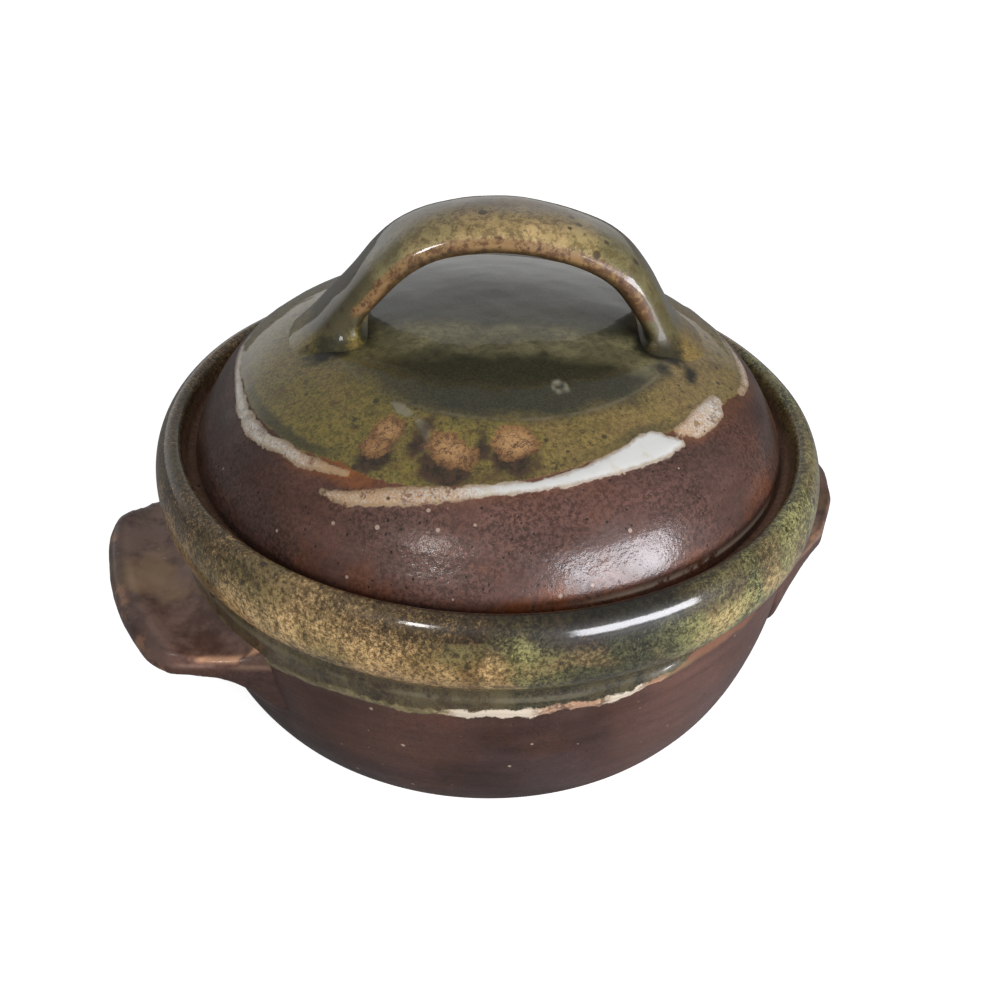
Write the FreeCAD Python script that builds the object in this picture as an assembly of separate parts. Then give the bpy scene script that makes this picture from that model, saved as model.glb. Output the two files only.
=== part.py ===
import FreeCAD, Part
import math
import os

# Stoneware bean pot: a low thrown bowl with a thick rolled rim, two slab lugs under the rim,
# and a domed lid that drops into a gallery inside the rim and lifts off by a strap handle.
# Millimetres. +Z is up, the origin is the centre of the foot on the table, +X runs through
# the right lug, and -X through the left one.

# ---------------------------------------------------------------- driving dimensions
# Bowl
rim_radius = 100.0          # widest reach of the rolled rim
rim_height = 75.0           # height of the roll's widest line above the table
foot_radius = 74.0          # where the wall leaves the table
foot_chamfer = 1.0          # sponged edge of the foot
foot_ring_width = 9.0       # flat that the pot stands on
foot_recess = 2.0           # hollow turned under the floor
recess_slope = 2.0          # run of the recess's sloping edge
floor_thickness = 7.0
wall = 7.3
belly_out = 15.8            # how far the wall's lower curve is pulled outwards
belly_up = 7.4              # and upwards, as it leaves the foot
wall_straight = 22.7        # length of the nearly upright wall under the rim
corner_wall = 7.6           # the same for the rounded corner between wall and floor
corner_drop = 6.8           # how much lower than the outside wall the inside one starts to turn in
corner_run = 13.0           # the corner's reach over the floor, in from the foot's edge

# Rolled rim
roll_overhang = 5.5         # how far the roll stands out over the wall
roll_drop = 12.5            # crease under the roll, below the widest line
roll_rise = 12.2            # crest of the roll, above the widest line
roll_thickness = 8.5        # from the widest line in to the top of the gallery wall
roll_low = (1.6, 8.0)       # a point of the roll under the widest line: inset, drop
roll_high = (1.9, 8.3)      # and one above it: inset, rise
crest_round = 3.0           # half width of the rounded crest
crest_fall = 2.2            # crest down to the top of the gallery wall

# Gallery that the lid sits in
gallery_depth = 7.7         # crest down to the ledge
gallery_draft = 1.1         # the gallery wall leans out by this much
ledge_width = 10.0
ledge_round = 1.5           # rounded inner lip of the ledge
neck_height = 24.0          # ledge down to where the wall is back to its own thickness
neck_ease = 8.5             # how far the neck runs straight at either end

# Lid
lid_side_clearance = 2.7    # gap between the lid's edge and the gallery wall
lid_seat_clearance = 0.2    # gap between the lid's seat and the ledge
lid_edge_round = 1.0
lid_edge_height = 1.8       # seat up to the lid's widest line
lid_seat_width = 6.8        # widest line in to the hollow
lid_wall = 6.5
edge_lean = 0.9             # direction in which the lid's edge rises: inwards
edge_lift = 5.0             # and upwards
shoulder_inset = 6.5        # the lid's upright edge leans in by this much
shoulder_rise = 14.3        # over this height
shoulder_lead = 0.4         # tightness of the shoulder
dome_lean = 7.7             # direction in which the dome leaves the shoulder: inwards
dome_lift = 12.2            # and upwards
dome_rise = 24.7            # shoulder up to the crown
crown_flat = 50.0           # reach of the crown's flat part

# Strap handle on the lid
handle_turn = -23.5         # degrees, turned from the line through the lugs
handle_offset = 2.5         # the strap's middle lies this far behind the lid's axis
handle_reach = 49.0         # middle of a foot from the lid's axis
handle_rise = 27.7          # middle of the strap's top above the crown
left_foot_splay = 2.0       # how much further out the buried end of the left foot lies
right_foot_splay = 4.0      # and that of the right foot
foot_bury = 15.0            # the strap is drawn on this far below the crown before it is trimmed
strap_width = 27.0
strap_thickness = 8.0
strap_side_fullness = 0.8   # 1 gives an oval section, less a squarer one
strap_top_fullness = 0.9
foot_flare_width = 5.0      # extra width of a foot
foot_flare_thickness = 5.0  # extra thickness of a foot
foot_flare_start = 5        # the higher, the later the strap widens into its foot

# The strap's centre line seen from the front: distance along the handle in units of
# handle_reach, height above the crown in units of handle_rise.
handle_line = [(-0.72, 0.41), (-0.58, 0.70), (-0.385, 0.91), (-0.10, 1.01),
               (0.30, 0.94), (0.64, 0.72), (0.85, 0.32)]
section_count = 13          # sections that the strap is drawn through
section_points = 12         # points round one section

# Lugs
lug_overhang = 17.0         # outer edge of a lug, out past the rim
lug_thickness = 9.5
lug_lip_below_rim = 21.4    # top of the lug's lip below the roll's widest line
lug_nose = 4.0              # reach of the fully rounded outer edge
lug_gusset = 10.0           # fillet of clay under the lug: its height and its reach
gusset_sink = 1.0           # how far the gusset's lower end runs into the wall
lug_long_side = 42.5        # half width on the side that flares into the wall
lug_short_side = 30.0       # half width on the straighter side
lug_long_corner = 20.0      # size of the rounded corner on the long side
lug_short_corner = 15.0     # and on the short side
lug_long_flare = 3.0        # how much wider the lug is at the wall, on the long side
lug_short_flare = 5.0       # and on the short side
lug_front = 6.0             # width of the plan where it ends, out past the nose
lug_edge_round = 2.8        # rounding of the lug's side edges
lug_bury = 8.0              # the lug is drawn on this far into the wall before it is trimmed

# The hollow in the lug's top: distance in from the nose, depth below the lip.
lug_dish = [(16.0, 2.3), (9.0, 2.6), (3.6, 1.0)]
lug_root_depth = 1.3        # depth below the lip at the buried end
# A corner of the lug's plan in units of its size: in from the reach, in from the half width.
corner_line = [(0.20, 0.60), (0.55, 0.15), (1.0, 0.0)]

# ---------------------------------------------------------------- places that follow from them
wall_radius = rim_radius - roll_overhang
crease_height = rim_height - roll_drop
crest_height = rim_height + roll_rise
crest_radius = rim_radius - roll_thickness + crest_round
gallery_top_radius = rim_radius - roll_thickness
gallery_radius = gallery_top_radius - gallery_draft
ledge_height = crest_height - gallery_depth
mouth_radius = gallery_radius - ledge_width
neck_bottom = ledge_height - neck_height
floor_height = foot_recess + floor_thickness
floor_radius = foot_radius - corner_run
inner_radius = wall_radius - wall

lid_radius = gallery_radius - lid_side_clearance
seat_height = ledge_height + lid_seat_clearance
lid_edge_z = seat_height + lid_edge_height
hollow_radius = lid_radius - lid_seat_width
shoulder_radius = lid_radius - shoulder_inset
shoulder_z = lid_edge_z + shoulder_rise
crown_z = shoulder_z + dome_rise

lug_reach = rim_radius + lug_overhang
lug_lip_z = rim_height - lug_lip_below_rim
lug_bottom_z = lug_lip_z - lug_thickness
lug_root = wall_radius - lug_bury

origin = FreeCAD.Vector(0, 0, 0)
up = FreeCAD.Vector(0, 0, 1)


# ---------------------------------------------------------------- drawing helpers
def at(radius, height):
    """A point of a profile, in the XZ plane."""
    return FreeCAD.Vector(radius, 0, height)


def path(*points):
    """Straight edges from point to point."""
    return [Part.LineSegment(a, b).toShape() for a, b in zip(points, points[1:])]


def curve(points):
    """A smooth curve through the points."""
    spline = Part.BSplineCurve()
    spline.interpolate(points)
    return spline.toShape()


def bezier(*poles):
    """A smooth curve that leaves and arrives along its first and last pairs of poles."""
    arc = Part.BezierCurve()
    arc.setPoles(list(poles))
    return arc.toShape()


def closed_face(edges):
    return Part.Face(Part.Wire(Part.__sortEdges__(edges)))


def turned(edges):
    """The solid that a closed profile sweeps round the Z axis."""
    return closed_face(edges).revolve(origin, up, 360)


# ---------------------------------------------------------------- the bowl
def outside_wall():
    """The bowl's outer line from the foot up to the crease under the roll."""
    return bezier(at(foot_radius, foot_chamfer),
                  at(foot_radius + belly_out, belly_up),
                  at(wall_radius, crease_height - wall_straight),
                  at(wall_radius, crease_height))


def rolled_rim():
    """The roll's line from the crease, round the outside and over the crest."""
    return curve([at(wall_radius, crease_height),
                  at(rim_radius - roll_low[0], rim_height - roll_low[1]),
                  at(rim_radius, rim_height),
                  at(rim_radius - roll_high[0], rim_height + roll_high[1]),
                  at(crest_radius, crest_height),
                  at(gallery_top_radius, crest_height - crest_fall)])


def inside_line():
    """The bowl's inside, from the ledge's lip down the neck and the wall to the floor."""
    neck = bezier(at(mouth_radius, ledge_height - ledge_round),
                  at(mouth_radius, ledge_height - neck_ease),
                  at(inner_radius, neck_bottom + neck_ease),
                  at(inner_radius, neck_bottom))
    bowl = bezier(at(inner_radius, neck_bottom),
                  at(inner_radius, crease_height - wall_straight - corner_drop),
                  at(foot_radius + belly_out - corner_wall, floor_height),
                  at(floor_radius, floor_height))
    return [neck, bowl]


def pot_body():
    """Foot, wall, rolled rim, gallery and inside of the bowl, turned in one piece."""
    ring_inner = foot_radius - foot_chamfer - foot_ring_width
    foot = path(at(0, floor_height), at(0, foot_recess), at(ring_inner - recess_slope, foot_recess),
                at(ring_inner, 0), at(foot_radius - foot_chamfer, 0),
                at(foot_radius, foot_chamfer))
    gallery = path(at(gallery_top_radius, crest_height - crest_fall),
                   at(gallery_radius, ledge_height),
                   at(mouth_radius + ledge_round, ledge_height),
                   at(mouth_radius, ledge_height - ledge_round))
    floor = path(at(floor_radius, floor_height), at(0, floor_height))
    return turned(foot + [outside_wall(), rolled_rim()] + gallery + inside_line() + floor)


def wall_core():
    """All that lies inside the bowl's outer line, up to the crease: a lug is trimmed to it."""
    return turned([outside_wall()] + path(at(wall_radius, crease_height), at(0, crease_height),
                                          at(0, foot_chamfer), at(foot_radius, foot_chamfer)))


# ---------------------------------------------------------------- the lugs
def lug_ring():
    """The lug's section, a lip round a shallow hollow on a gusset, turned about the pot's axis."""
    nose_start = lug_reach - lug_nose
    nose_pull = 4 / 3 * lug_nose        # a cubic's poles stand a third further out than its bulge
    gusset_start = wall_radius + lug_gusset
    gusset_low = lug_bottom_z - lug_gusset
    top = curve([at(lug_root, lug_lip_z - lug_root_depth)]
                + [at(nose_start - inset, lug_lip_z - depth) for inset, depth in lug_dish]
                + [at(nose_start, lug_lip_z)])
    nose = bezier(at(nose_start, lug_lip_z), at(nose_start + nose_pull, lug_lip_z),
                  at(nose_start + nose_pull, lug_bottom_z), at(nose_start, lug_bottom_z))
    gusset = bezier(at(gusset_start, lug_bottom_z),
                    at(gusset_start - lug_gusset / 2, lug_bottom_z),
                    at(wall_radius, lug_bottom_z - lug_gusset / 2),
                    at(wall_radius - gusset_sink, gusset_low))
    underside = path(at(nose_start, lug_bottom_z), at(gusset_start, lug_bottom_z))
    root = path(at(wall_radius - gusset_sink, gusset_low), at(lug_root, gusset_low),
                at(lug_root, lug_lip_z - lug_root_depth))
    return turned([top, nose, gusset] + underside + root)


def lug_side(half_width, corner, flare, side):
    """One side of the lug's plan, from past the nose, round the corner and into the wall."""
    outline = [(lug_reach + corner, lug_front / 2)]
    outline += [(lug_reach - x * corner, half_width - y * corner) for x, y in corner_line]
    outline += [(wall_radius, half_width + flare), (lug_root - lug_bury, half_width + 2 * flare)]
    return [FreeCAD.Vector(x, side * y, 0) for x, y in outline]


def lug_plan():
    """The lug's outline from above, as a tall prism: one side flares, the other is straighter."""
    long_side = lug_side(lug_long_side, lug_long_corner, lug_long_flare, -1)
    short_side = lug_side(lug_short_side, lug_short_corner, lug_short_flare, 1)
    edges = [curve(long_side), curve(short_side)]
    edges += path(long_side[0], short_side[0])
    edges += path(long_side[-1], short_side[-1])
    return closed_face(edges).extrude(up * rim_height)


def side_edges(blank):
    """The edges that run out along the lug's two sides, top and bottom, clear of the wall."""
    found = []
    for edge in blank.Edges:
        start, end = [vertex.Point for vertex in (edge.Vertexes[0], edge.Vertexes[-1])]
        middle = edge.CenterOfMass
        runs_out = math.hypot(start.x - end.x, start.y - end.y) > lug_edge_round
        outside = math.hypot(middle.x, middle.y) > wall_radius
        if runs_out and outside and abs(middle.y) > lug_short_side / 2:
            found.append(edge)
    return found


def lug():
    """One lug on +X, trimmed to the wall that it is luted to."""
    blank = lug_ring().common(lug_plan())
    rounded = blank.makeFillet(lug_edge_round, side_edges(blank))
    return rounded.cut(wall_core())


# ---------------------------------------------------------------- the lid
def lid_outside():
    """The lid's outer line from its widest point, over the shoulder, to the crown."""
    edge_wall = bezier(at(lid_radius, lid_edge_z),
                       at(lid_radius - edge_lean, lid_edge_z + edge_lift),
                       at(shoulder_radius + shoulder_lead * dome_lean,
                          shoulder_z - shoulder_lead * dome_lift),
                       at(shoulder_radius, shoulder_z))
    dome = bezier(at(shoulder_radius, shoulder_z),
                  at(shoulder_radius - dome_lean, shoulder_z + dome_lift),
                  at(crown_flat, crown_z),
                  at(0, crown_z))
    return [edge_wall, dome]


def lid_inside():
    """The line of the hollow under the lid, one wall's thickness inside the outer line."""
    slope = math.hypot(dome_lean, dome_lift)
    inner_shoulder = at(shoulder_radius - lid_wall * dome_lift / slope,
                        shoulder_z - lid_wall * dome_lean / slope)
    ceiling_z = crown_z - lid_wall
    inner_edge = bezier(at(hollow_radius, seat_height),
                        at(hollow_radius - edge_lean, seat_height + edge_lift),
                        at(inner_shoulder.x + shoulder_lead * dome_lean,
                           inner_shoulder.z - shoulder_lead * dome_lift),
                        inner_shoulder)
    ceiling = bezier(inner_shoulder,
                     at(inner_shoulder.x - dome_lean, inner_shoulder.z + dome_lift),
                     at(crown_flat - lid_wall / 2, ceiling_z),
                     at(0, ceiling_z))
    return [inner_edge, ceiling]


def lid_dome():
    """The lid: a seat that rests on the ledge, an upright edge and a hollow dome."""
    seat = path(at(hollow_radius, seat_height), at(lid_radius - lid_edge_round, seat_height),
                at(lid_radius, lid_edge_z))
    crown = path(at(0, crown_z), at(0, crown_z - lid_wall))
    return turned(seat + lid_outside() + crown + lid_inside())


def lid_core():
    """All that lies under the lid's outer line: the handle's feet are trimmed to it."""
    return turned(lid_outside() + path(at(0, crown_z), at(0, seat_height),
                                       at(lid_radius, seat_height), at(lid_radius, lid_edge_z)))


# ---------------------------------------------------------------- the strap handle
def strap_section(middle, along, width, thickness):
    """A rounded, flattened section of the strap, square to the direction it runs in."""
    across = FreeCAD.Vector(0, 1, 0)
    outward = across.cross(along).normalize()
    points = []
    for step in range(section_points):
        angle = 2 * math.pi * step / section_points
        side = math.copysign(abs(math.cos(angle)) ** strap_side_fullness, math.cos(angle))
        rise = math.copysign(abs(math.sin(angle)) ** strap_top_fullness, math.sin(angle))
        points.append(middle + across * (width / 2 * side) + outward * (thickness / 2 * rise))
    ring = Part.BSplineCurve()
    ring.interpolate(points, PeriodicFlag=True)
    return Part.Wire(ring.toShape())


def strap_spine():
    """The strap's centre line, from one buried end to the other."""
    spine = Part.BSplineCurve()
    spine.interpolate([at(-handle_reach - left_foot_splay, crown_z - foot_bury)]
                      + [at(x * handle_reach, crown_z + z * handle_rise) for x, z in handle_line]
                      + [at(handle_reach + right_foot_splay, crown_z - foot_bury)])
    return spine


def lid_handle():
    """The pulled strap: an arch drawn through sections, trimmed to the dome at both feet."""
    spine = strap_spine()
    first, last = spine.FirstParameter, spine.LastParameter
    sections = []
    for step in range(section_count):
        share = step / (section_count - 1)
        place = first + (last - first) * share
        flare = abs(2 * share - 1) ** foot_flare_start
        sections.append(strap_section(spine.value(place), spine.tangent(place)[0],
                                      strap_width + foot_flare_width * flare,
                                      strap_thickness + foot_flare_thickness * flare))
    strap = Part.makeLoft(sections, True)
    strap.translate(FreeCAD.Vector(0, handle_offset, 0))
    strap.rotate(origin, up, handle_turn)
    return strap.cut(lid_core())


# ---------------------------------------------------------------- write the pieces
def main():
    os.makedirs("parts", exist_ok=True)
    right = lug()
    left = right.copy()
    left.rotate(origin, up, 180)
    pieces = {"pot_body": pot_body(), "lug_right": right, "lug_left": left,
              "lid_dome": lid_dome(), "lid_handle": lid_handle()}
    for name, shape in pieces.items():
        box = shape.BoundBox
        low = [round(v, 1) for v in (box.XMin, box.YMin, box.ZMin)]
        high = [round(v, 1) for v in (box.XMax, box.YMax, box.ZMax)]
        print(name, len(shape.Solids), "solid, valid", shape.isValid(),
              "volume", round(shape.Volume), "box", low, high)
        shape.exportStep("parts/" + name + ".step")


main()
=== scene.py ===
import math

import bpy
import numpy as np
from bpy.props import FloatProperty, FloatVectorProperty, PointerProperty
from mathutils import Euler, Matrix, Vector


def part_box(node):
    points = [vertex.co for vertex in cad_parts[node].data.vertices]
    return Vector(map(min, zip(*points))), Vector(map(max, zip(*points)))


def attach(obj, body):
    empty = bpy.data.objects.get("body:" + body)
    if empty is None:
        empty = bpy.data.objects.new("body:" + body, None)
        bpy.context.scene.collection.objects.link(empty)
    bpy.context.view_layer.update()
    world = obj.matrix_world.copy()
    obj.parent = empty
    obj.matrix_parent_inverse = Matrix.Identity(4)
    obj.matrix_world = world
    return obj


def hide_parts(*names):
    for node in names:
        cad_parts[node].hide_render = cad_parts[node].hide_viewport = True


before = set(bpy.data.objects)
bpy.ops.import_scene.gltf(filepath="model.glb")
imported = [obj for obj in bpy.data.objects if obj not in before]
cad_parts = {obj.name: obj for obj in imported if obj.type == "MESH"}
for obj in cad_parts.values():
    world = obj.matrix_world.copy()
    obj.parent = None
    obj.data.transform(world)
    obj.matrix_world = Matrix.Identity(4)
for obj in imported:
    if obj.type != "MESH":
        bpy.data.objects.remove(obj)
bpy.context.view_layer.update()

bl_info = {
    "name": "Stoneware Bean Pot",
    "version": (1, 0, 0),
    "blender": (4, 5, 0),
    "location": "View3D > Sidebar > Bean Pot",
    "description": "A thrown stoneware pot with two lugs and a domed lid, with its ash and iron glazes",
    "category": "Add Mesh",
}

MM = 0.001
FAR = -50.0  # depth, in millimetres, of what lies well outside a stroke or a patch
BAND = 6.0  # distance, in millimetres, up to which a place is told apart from a band's edge
BARE_ROUGHNESS = (0.75, 0.75, 0.75)
GLAZE_ROUGHNESS = (0.42, 0.42, 0.42)
POT_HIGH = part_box("pot_body")[1]
LUG_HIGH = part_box("lug_right")[1]
LID_LOW, LID_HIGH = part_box("lid_dome")
HANDLE_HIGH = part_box("lid_handle")[1]


# ------------------------------------------------------------------ sizes and colours
def length(name, description, default):
    return FloatProperty(name=name, description=description, default=default, min=0.0,
                         subtype="DISTANCE", unit="LENGTH")


def colour(name, description, default):
    return FloatVectorProperty(name=name, description=description, default=default, size=3,
                               min=0.0, max=1.0, subtype="COLOR")


class BeanPotBowlSettings(bpy.types.PropertyGroup):
    rim_radius: length("Rim radius", "Widest reach of the rolled rim", POT_HIGH.x)
    crest_height: length("Crest height", "Top of the rolled rim above the table", POT_HIGH.z)
    foot_radius: length("Foot radius", "Where the wall leaves the table", 0.074)
    wall: length("Wall", "Thickness of the bowl's wall", 0.0073)
    # Dark slip is the slip's own darker cloud, and also its painted shade away from the lamps.
    dark_clay: colour("Dark slip", "Iron slip in the shadowed, thicker places", (0.043, 0.023, 0.019))
    clay: colour("Slip", "Satin purple-brown slip of the outside", (0.135, 0.070, 0.055))
    bare_clay: colour("Bare clay", "Unglazed clay of the foot and the gallery", (0.34, 0.19, 0.125))
    khaki: colour("Khaki ash", "Ash glaze where it lies thin and dry", (0.76, 0.51, 0.235))
    green: colour("Green ash", "Ash glaze where it lies thick", (0.075, 0.078, 0.022))
    deep_green: colour("Deep green", "Pooled ash glaze", (0.022, 0.027, 0.012))
    cream: colour("Cream edge", "Where the glaze ends over the slip", (0.72, 0.62, 0.48))


class BeanPotLugSettings(bpy.types.PropertyGroup):
    reach: length("Reach", "Outer edge of a lug from the pot's axis", LUG_HIGH.x)
    thickness: length("Thickness", "Thickness of the slab", 0.0095)
    edge_rust: colour("Edge rust", "Iron that burns orange on the edges", (0.33, 0.165, 0.095))


class BeanPotLidSettings(bpy.types.PropertyGroup):
    radius: length("Radius", "Widest line of the lid", LID_HIGH.x)
    seat_height: length("Seat", "Underside of the lid's edge above the table", LID_LOW.z)
    crown_height: length("Crown", "Top of the dome above the table", LID_HIGH.z)
    wall: length("Wall", "Thickness of the lid", 0.0065)
    olive: colour("Olive", "Ash glaze over the dome", (0.225, 0.170, 0.030))
    tan: colour("Tan", "The same glaze where it is thinner", (0.25, 0.165, 0.050))
    pool: colour("Pool", "Deep glassy glaze in the crown's dish", (0.020, 0.022, 0.012))
    finger: colour("Finger marks", "Bare patches left by three fingers", (0.52, 0.30, 0.13))
    cream: colour("Cream line", "Thick pale glaze along the edge of the dip", (0.68, 0.68, 0.65))
    rust: colour("Rust", "Iron that burns orange under thin glaze", (0.215, 0.066, 0.020))


class BeanPotHandleSettings(bpy.types.PropertyGroup):
    top_height: length("Top", "Top of the strap above the table", HANDLE_HIGH.z)
    width: length("Width", "Width of the strap", 0.027)
    thickness: length("Thickness", "Thickness of the strap", 0.008)
    turn: FloatProperty(name="Turn", description="Turn of the strap from the line of the lugs",
                        default=math.radians(-23.5), subtype="ANGLE", unit="ROTATION")
    rust: colour("Edge rust", "Iron where the glaze breaks over the strap's edges", (0.115, 0.045, 0.016))


class BeanPotStudioSettings(bpy.types.PropertyGroup):
    floor: colour("Floor", "Colour of the plain floor", (0.80, 0.80, 0.80))
    window: FloatProperty(name="Window", description="Power of the large soft lamp in front",
                          default=17.0, min=0.0, unit="POWER")
    fill: FloatProperty(name="Fill", description="Power of the small soft lamp on the left",
                        default=2.2, min=0.0, unit="POWER")


# ------------------------------------------------------------------ modelling by hand
def leave_edit_mode():
    """Object mode with nothing selected, which every new piece starts from."""
    if bpy.context.object and bpy.context.object.mode != "OBJECT":
        bpy.ops.object.mode_set(mode="OBJECT")
    bpy.ops.object.select_all(action="DESELECT")


def start_line(name, point):
    """A piece that is one vertex, in edit mode, at the start of the line drawn next."""
    leave_edit_mode()
    bpy.ops.mesh.primitive_plane_add(size=0.01, location=(0, 0, 0))
    piece = bpy.context.object
    piece.name = name
    piece.data.name = name
    bpy.ops.object.mode_set(mode="EDIT")
    bpy.ops.mesh.select_mode(type="VERT")
    bpy.ops.mesh.select_all(action="SELECT")
    bpy.ops.mesh.merge(type="CENTER")
    bpy.ops.transform.translate(value=point)
    return piece


def draw_line(points):
    """Extrudes the selected vertex from point to point."""
    for here, there in zip(points, points[1:]):
        bpy.ops.mesh.extrude_region_move(TRANSFORM_OT_translate={"value": there - here})


def merge_all():
    bpy.ops.mesh.select_all(action="SELECT")
    bpy.ops.mesh.remove_doubles(threshold=1e-5)
    bpy.ops.mesh.select_all(action="SELECT")


def swing(angle, axis, centre=(0, 0, 0)):
    """Turns the selection by a right-handed angle about a centre."""
    bpy.ops.transform.rotate(value=-angle, orient_axis=axis, center_override=centre)


def select_edges(piece, test):
    """Selects only the edges whose two ends both pass a test of their place."""
    bpy.ops.mesh.select_mode(type="EDGE")
    bpy.ops.mesh.select_all(action="DESELECT")
    bpy.ops.object.mode_set(mode="OBJECT")
    mesh = piece.data
    passing = [test(vertex.co) for vertex in mesh.vertices]
    for edge in mesh.edges:
        edge.select = all(passing[index] for index in edge.vertices)
    bpy.ops.object.mode_set(mode="EDIT")


def set_down(piece):
    """Out of edit mode with the faces turned outwards, ready for modifiers."""
    bpy.ops.mesh.select_all(action="SELECT")
    bpy.ops.mesh.normals_make_consistent(inside=False)
    leave_edit_mode()
    piece.select_set(True)
    bpy.context.view_layer.objects.active = piece


def throw(name, profile, steps):
    """A pot thrown from a profile in millimetres: drawn, spun, closed in its middles and smoothed."""
    points = [Vector((radius * MM, 0, height * MM)) for radius, height in profile]
    piece = start_line(name, points[0])
    draw_line(points)
    bpy.ops.mesh.select_all(action="SELECT")
    bpy.ops.mesh.spin(steps=steps, angle=2 * math.pi, center=(0, 0, 0), axis=(0, 0, 1))
    merge_all()
    for end in (points[0], points[-1]):
        select_edges(piece, lambda co: abs(co.z - end.z) < 1e-5 and co.xy.length < end.x + 1e-5)
        bpy.ops.mesh.fill_grid(span=steps // 4)
    set_down(piece)
    smooth_clay(piece)
    return piece


def apply(piece, kind, name, **settings):
    """Adds one modifier, sets it up and applies it."""
    modifier = piece.modifiers.new(name, kind)
    for key, value in settings.items():
        setattr(modifier, key, value)
    bpy.ops.object.modifier_apply(modifier=modifier.name)


def smooth_clay(piece):
    apply(piece, "SUBSURF", "Smooth clay", levels=2, render_levels=2)
    bpy.ops.object.shade_smooth()


def weigh(piece, name, shares):
    """A vertex group with a share from 0 to 1 for each vertex."""
    group = piece.vertex_groups.new(name=name)
    for index in np.nonzero(np.asarray(shares) > 1e-4)[0]:
        group.add([int(index)], float(shares[index]), "REPLACE")
    return group


def undulate(piece, name, size, height, free):
    """The slight unevenness of a hand-made wall, of a given spread and height, where it is free."""
    texture = bpy.data.textures.new(name, "CLOUDS")
    texture.noise_scale = size
    texture.noise_depth = 1
    group = weigh(piece, name, free(places(piece)))
    apply(piece, "DISPLACE", name, texture=texture, texture_coords="LOCAL", strength=height,
          vertex_group=group.name)
    piece.vertex_groups.clear()


def raise_surface(piece, name, heights, direction="NORMAL"):
    """Moves the surface by heights in millimetres, one for each vertex, outwards or straight up."""
    largest = float(np.abs(heights).max()) or 1.0
    for sign, part in ((1, np.clip(heights, 0, None)), (-1, np.clip(-heights, 0, None))):
        if part.max() <= 0:
            continue
        group = weigh(piece, name, part / largest)
        apply(piece, "DISPLACE", name, vertex_group=group.name, mid_level=0, direction=direction,
              strength=sign * largest * MM)
        piece.vertex_groups.clear()


def places(piece):
    """Every vertex of a piece, in millimetres."""
    flat = np.empty(len(piece.data.vertices) * 3)
    piece.data.vertices.foreach_get("co", flat)
    return flat.reshape(-1, 3) / MM


def mark(piece, **marks):
    """Writes numbers for every vertex, which the finish reads by their names."""
    for name, values in marks.items():
        layer = piece.data.attributes.new(name, "FLOAT", "POINT")
        layer.data.foreach_set("value", np.asarray(values, dtype=np.float32))


def finish_piece(piece, body, node, material):
    piece.data.materials.clear()
    piece.data.materials.append(material)
    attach(piece, body)
    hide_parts(node)
    leave_edit_mode()


# ------------------------------------------------------------------ lines and strokes
def bezier(start, pull, push, end, count):
    """Points of a smooth curve that leaves towards pull and arrives from push, without its start."""
    points = []
    for step in range(1, count + 1):
        t = step / count
        k = 1 - t
        points.append(tuple(k ** 3 * a + 3 * k * k * t * b + 3 * k * t * t * c + t ** 3 * d
                            for a, b, c, d in zip(start, pull, push, end)))
    return points


def smoothstep(low, high, values):
    t = np.clip((values - low) / (high - low), 0, 1)
    return t * t * (3 - 2 * t)


def between(low, high, fade, values):
    """1 from low to high, fading to 0 inside both ends."""
    return smoothstep(low, low + fade, values) * smoothstep(high, high - fade, values)


def around(p):
    """The direction of each place from the axis, in degrees from +X."""
    return np.degrees(np.arctan2(p[:, 1], p[:, 0]))


def from_axis(p):
    return np.hypot(p[:, 0], p[:, 1])


def by_angle(angles, table):
    """Reads a value that changes round the pot from (degrees, value) pairs, closed at the back."""
    return np.interp(angles, *zip(*table), period=360)


def on_dome(degrees, radius, dome):
    """A place on the lid's outside, in millimetres, from its direction and radius."""
    a = math.radians(degrees)
    return np.array((radius * math.cos(a), radius * math.sin(a), np.interp(radius, *dome)))


def strokes(p, lines, dome):
    """Strokes of a loaded brush along (degrees, radius, half width, tone) points of the dome:
    how far inside the nearest each place lies, in millimetres, and the tone there."""
    inside, tone = np.full(len(p), FAR), np.zeros(len(p))
    for line in lines:
        spots = [(on_dome(d, radius, dome), w, t) for d, radius, w, t in line]
        for (a, wide_a, tone_a), (b, wide_b, tone_b) in zip(spots, spots[1:]):
            run = b - a
            t = np.clip((p - a) @ run / (run @ run), 0, 1)
            gap = np.linalg.norm(p - (a + t[:, None] * run), axis=1)
            depth = wide_a + (wide_b - wide_a) * t - gap
            nearer = depth > inside
            inside[nearer] = depth[nearer]
            tone[nearer] = (tone_a + (tone_b - tone_a) * t)[nearer]
    return inside, tone


def touches(p, marks, dome):
    """Oval dabs at (degrees, radius, half length, half width, tilt): depth inside the nearest."""
    inside = np.full(len(p), FAR)
    for degrees, radius, half_long, half_wide, tilt in marks:
        a, t = math.radians(degrees), math.radians(tilt)
        offset = p - on_dome(degrees, radius, dome)
        along = offset @ np.array((-math.sin(a), math.cos(a), 0))
        outward = np.sqrt(np.maximum((offset ** 2).sum(axis=1) - along ** 2, 0))
        outward *= np.sign(from_axis(p) - radius)
        u = (along * math.cos(t) + outward * math.sin(t)) / half_long
        v = (-along * math.sin(t) + outward * math.cos(t)) / half_wide
        inside = np.maximum(inside, (1 - np.hypot(u, v)) * min(half_long, half_wide))
    return inside


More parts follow.
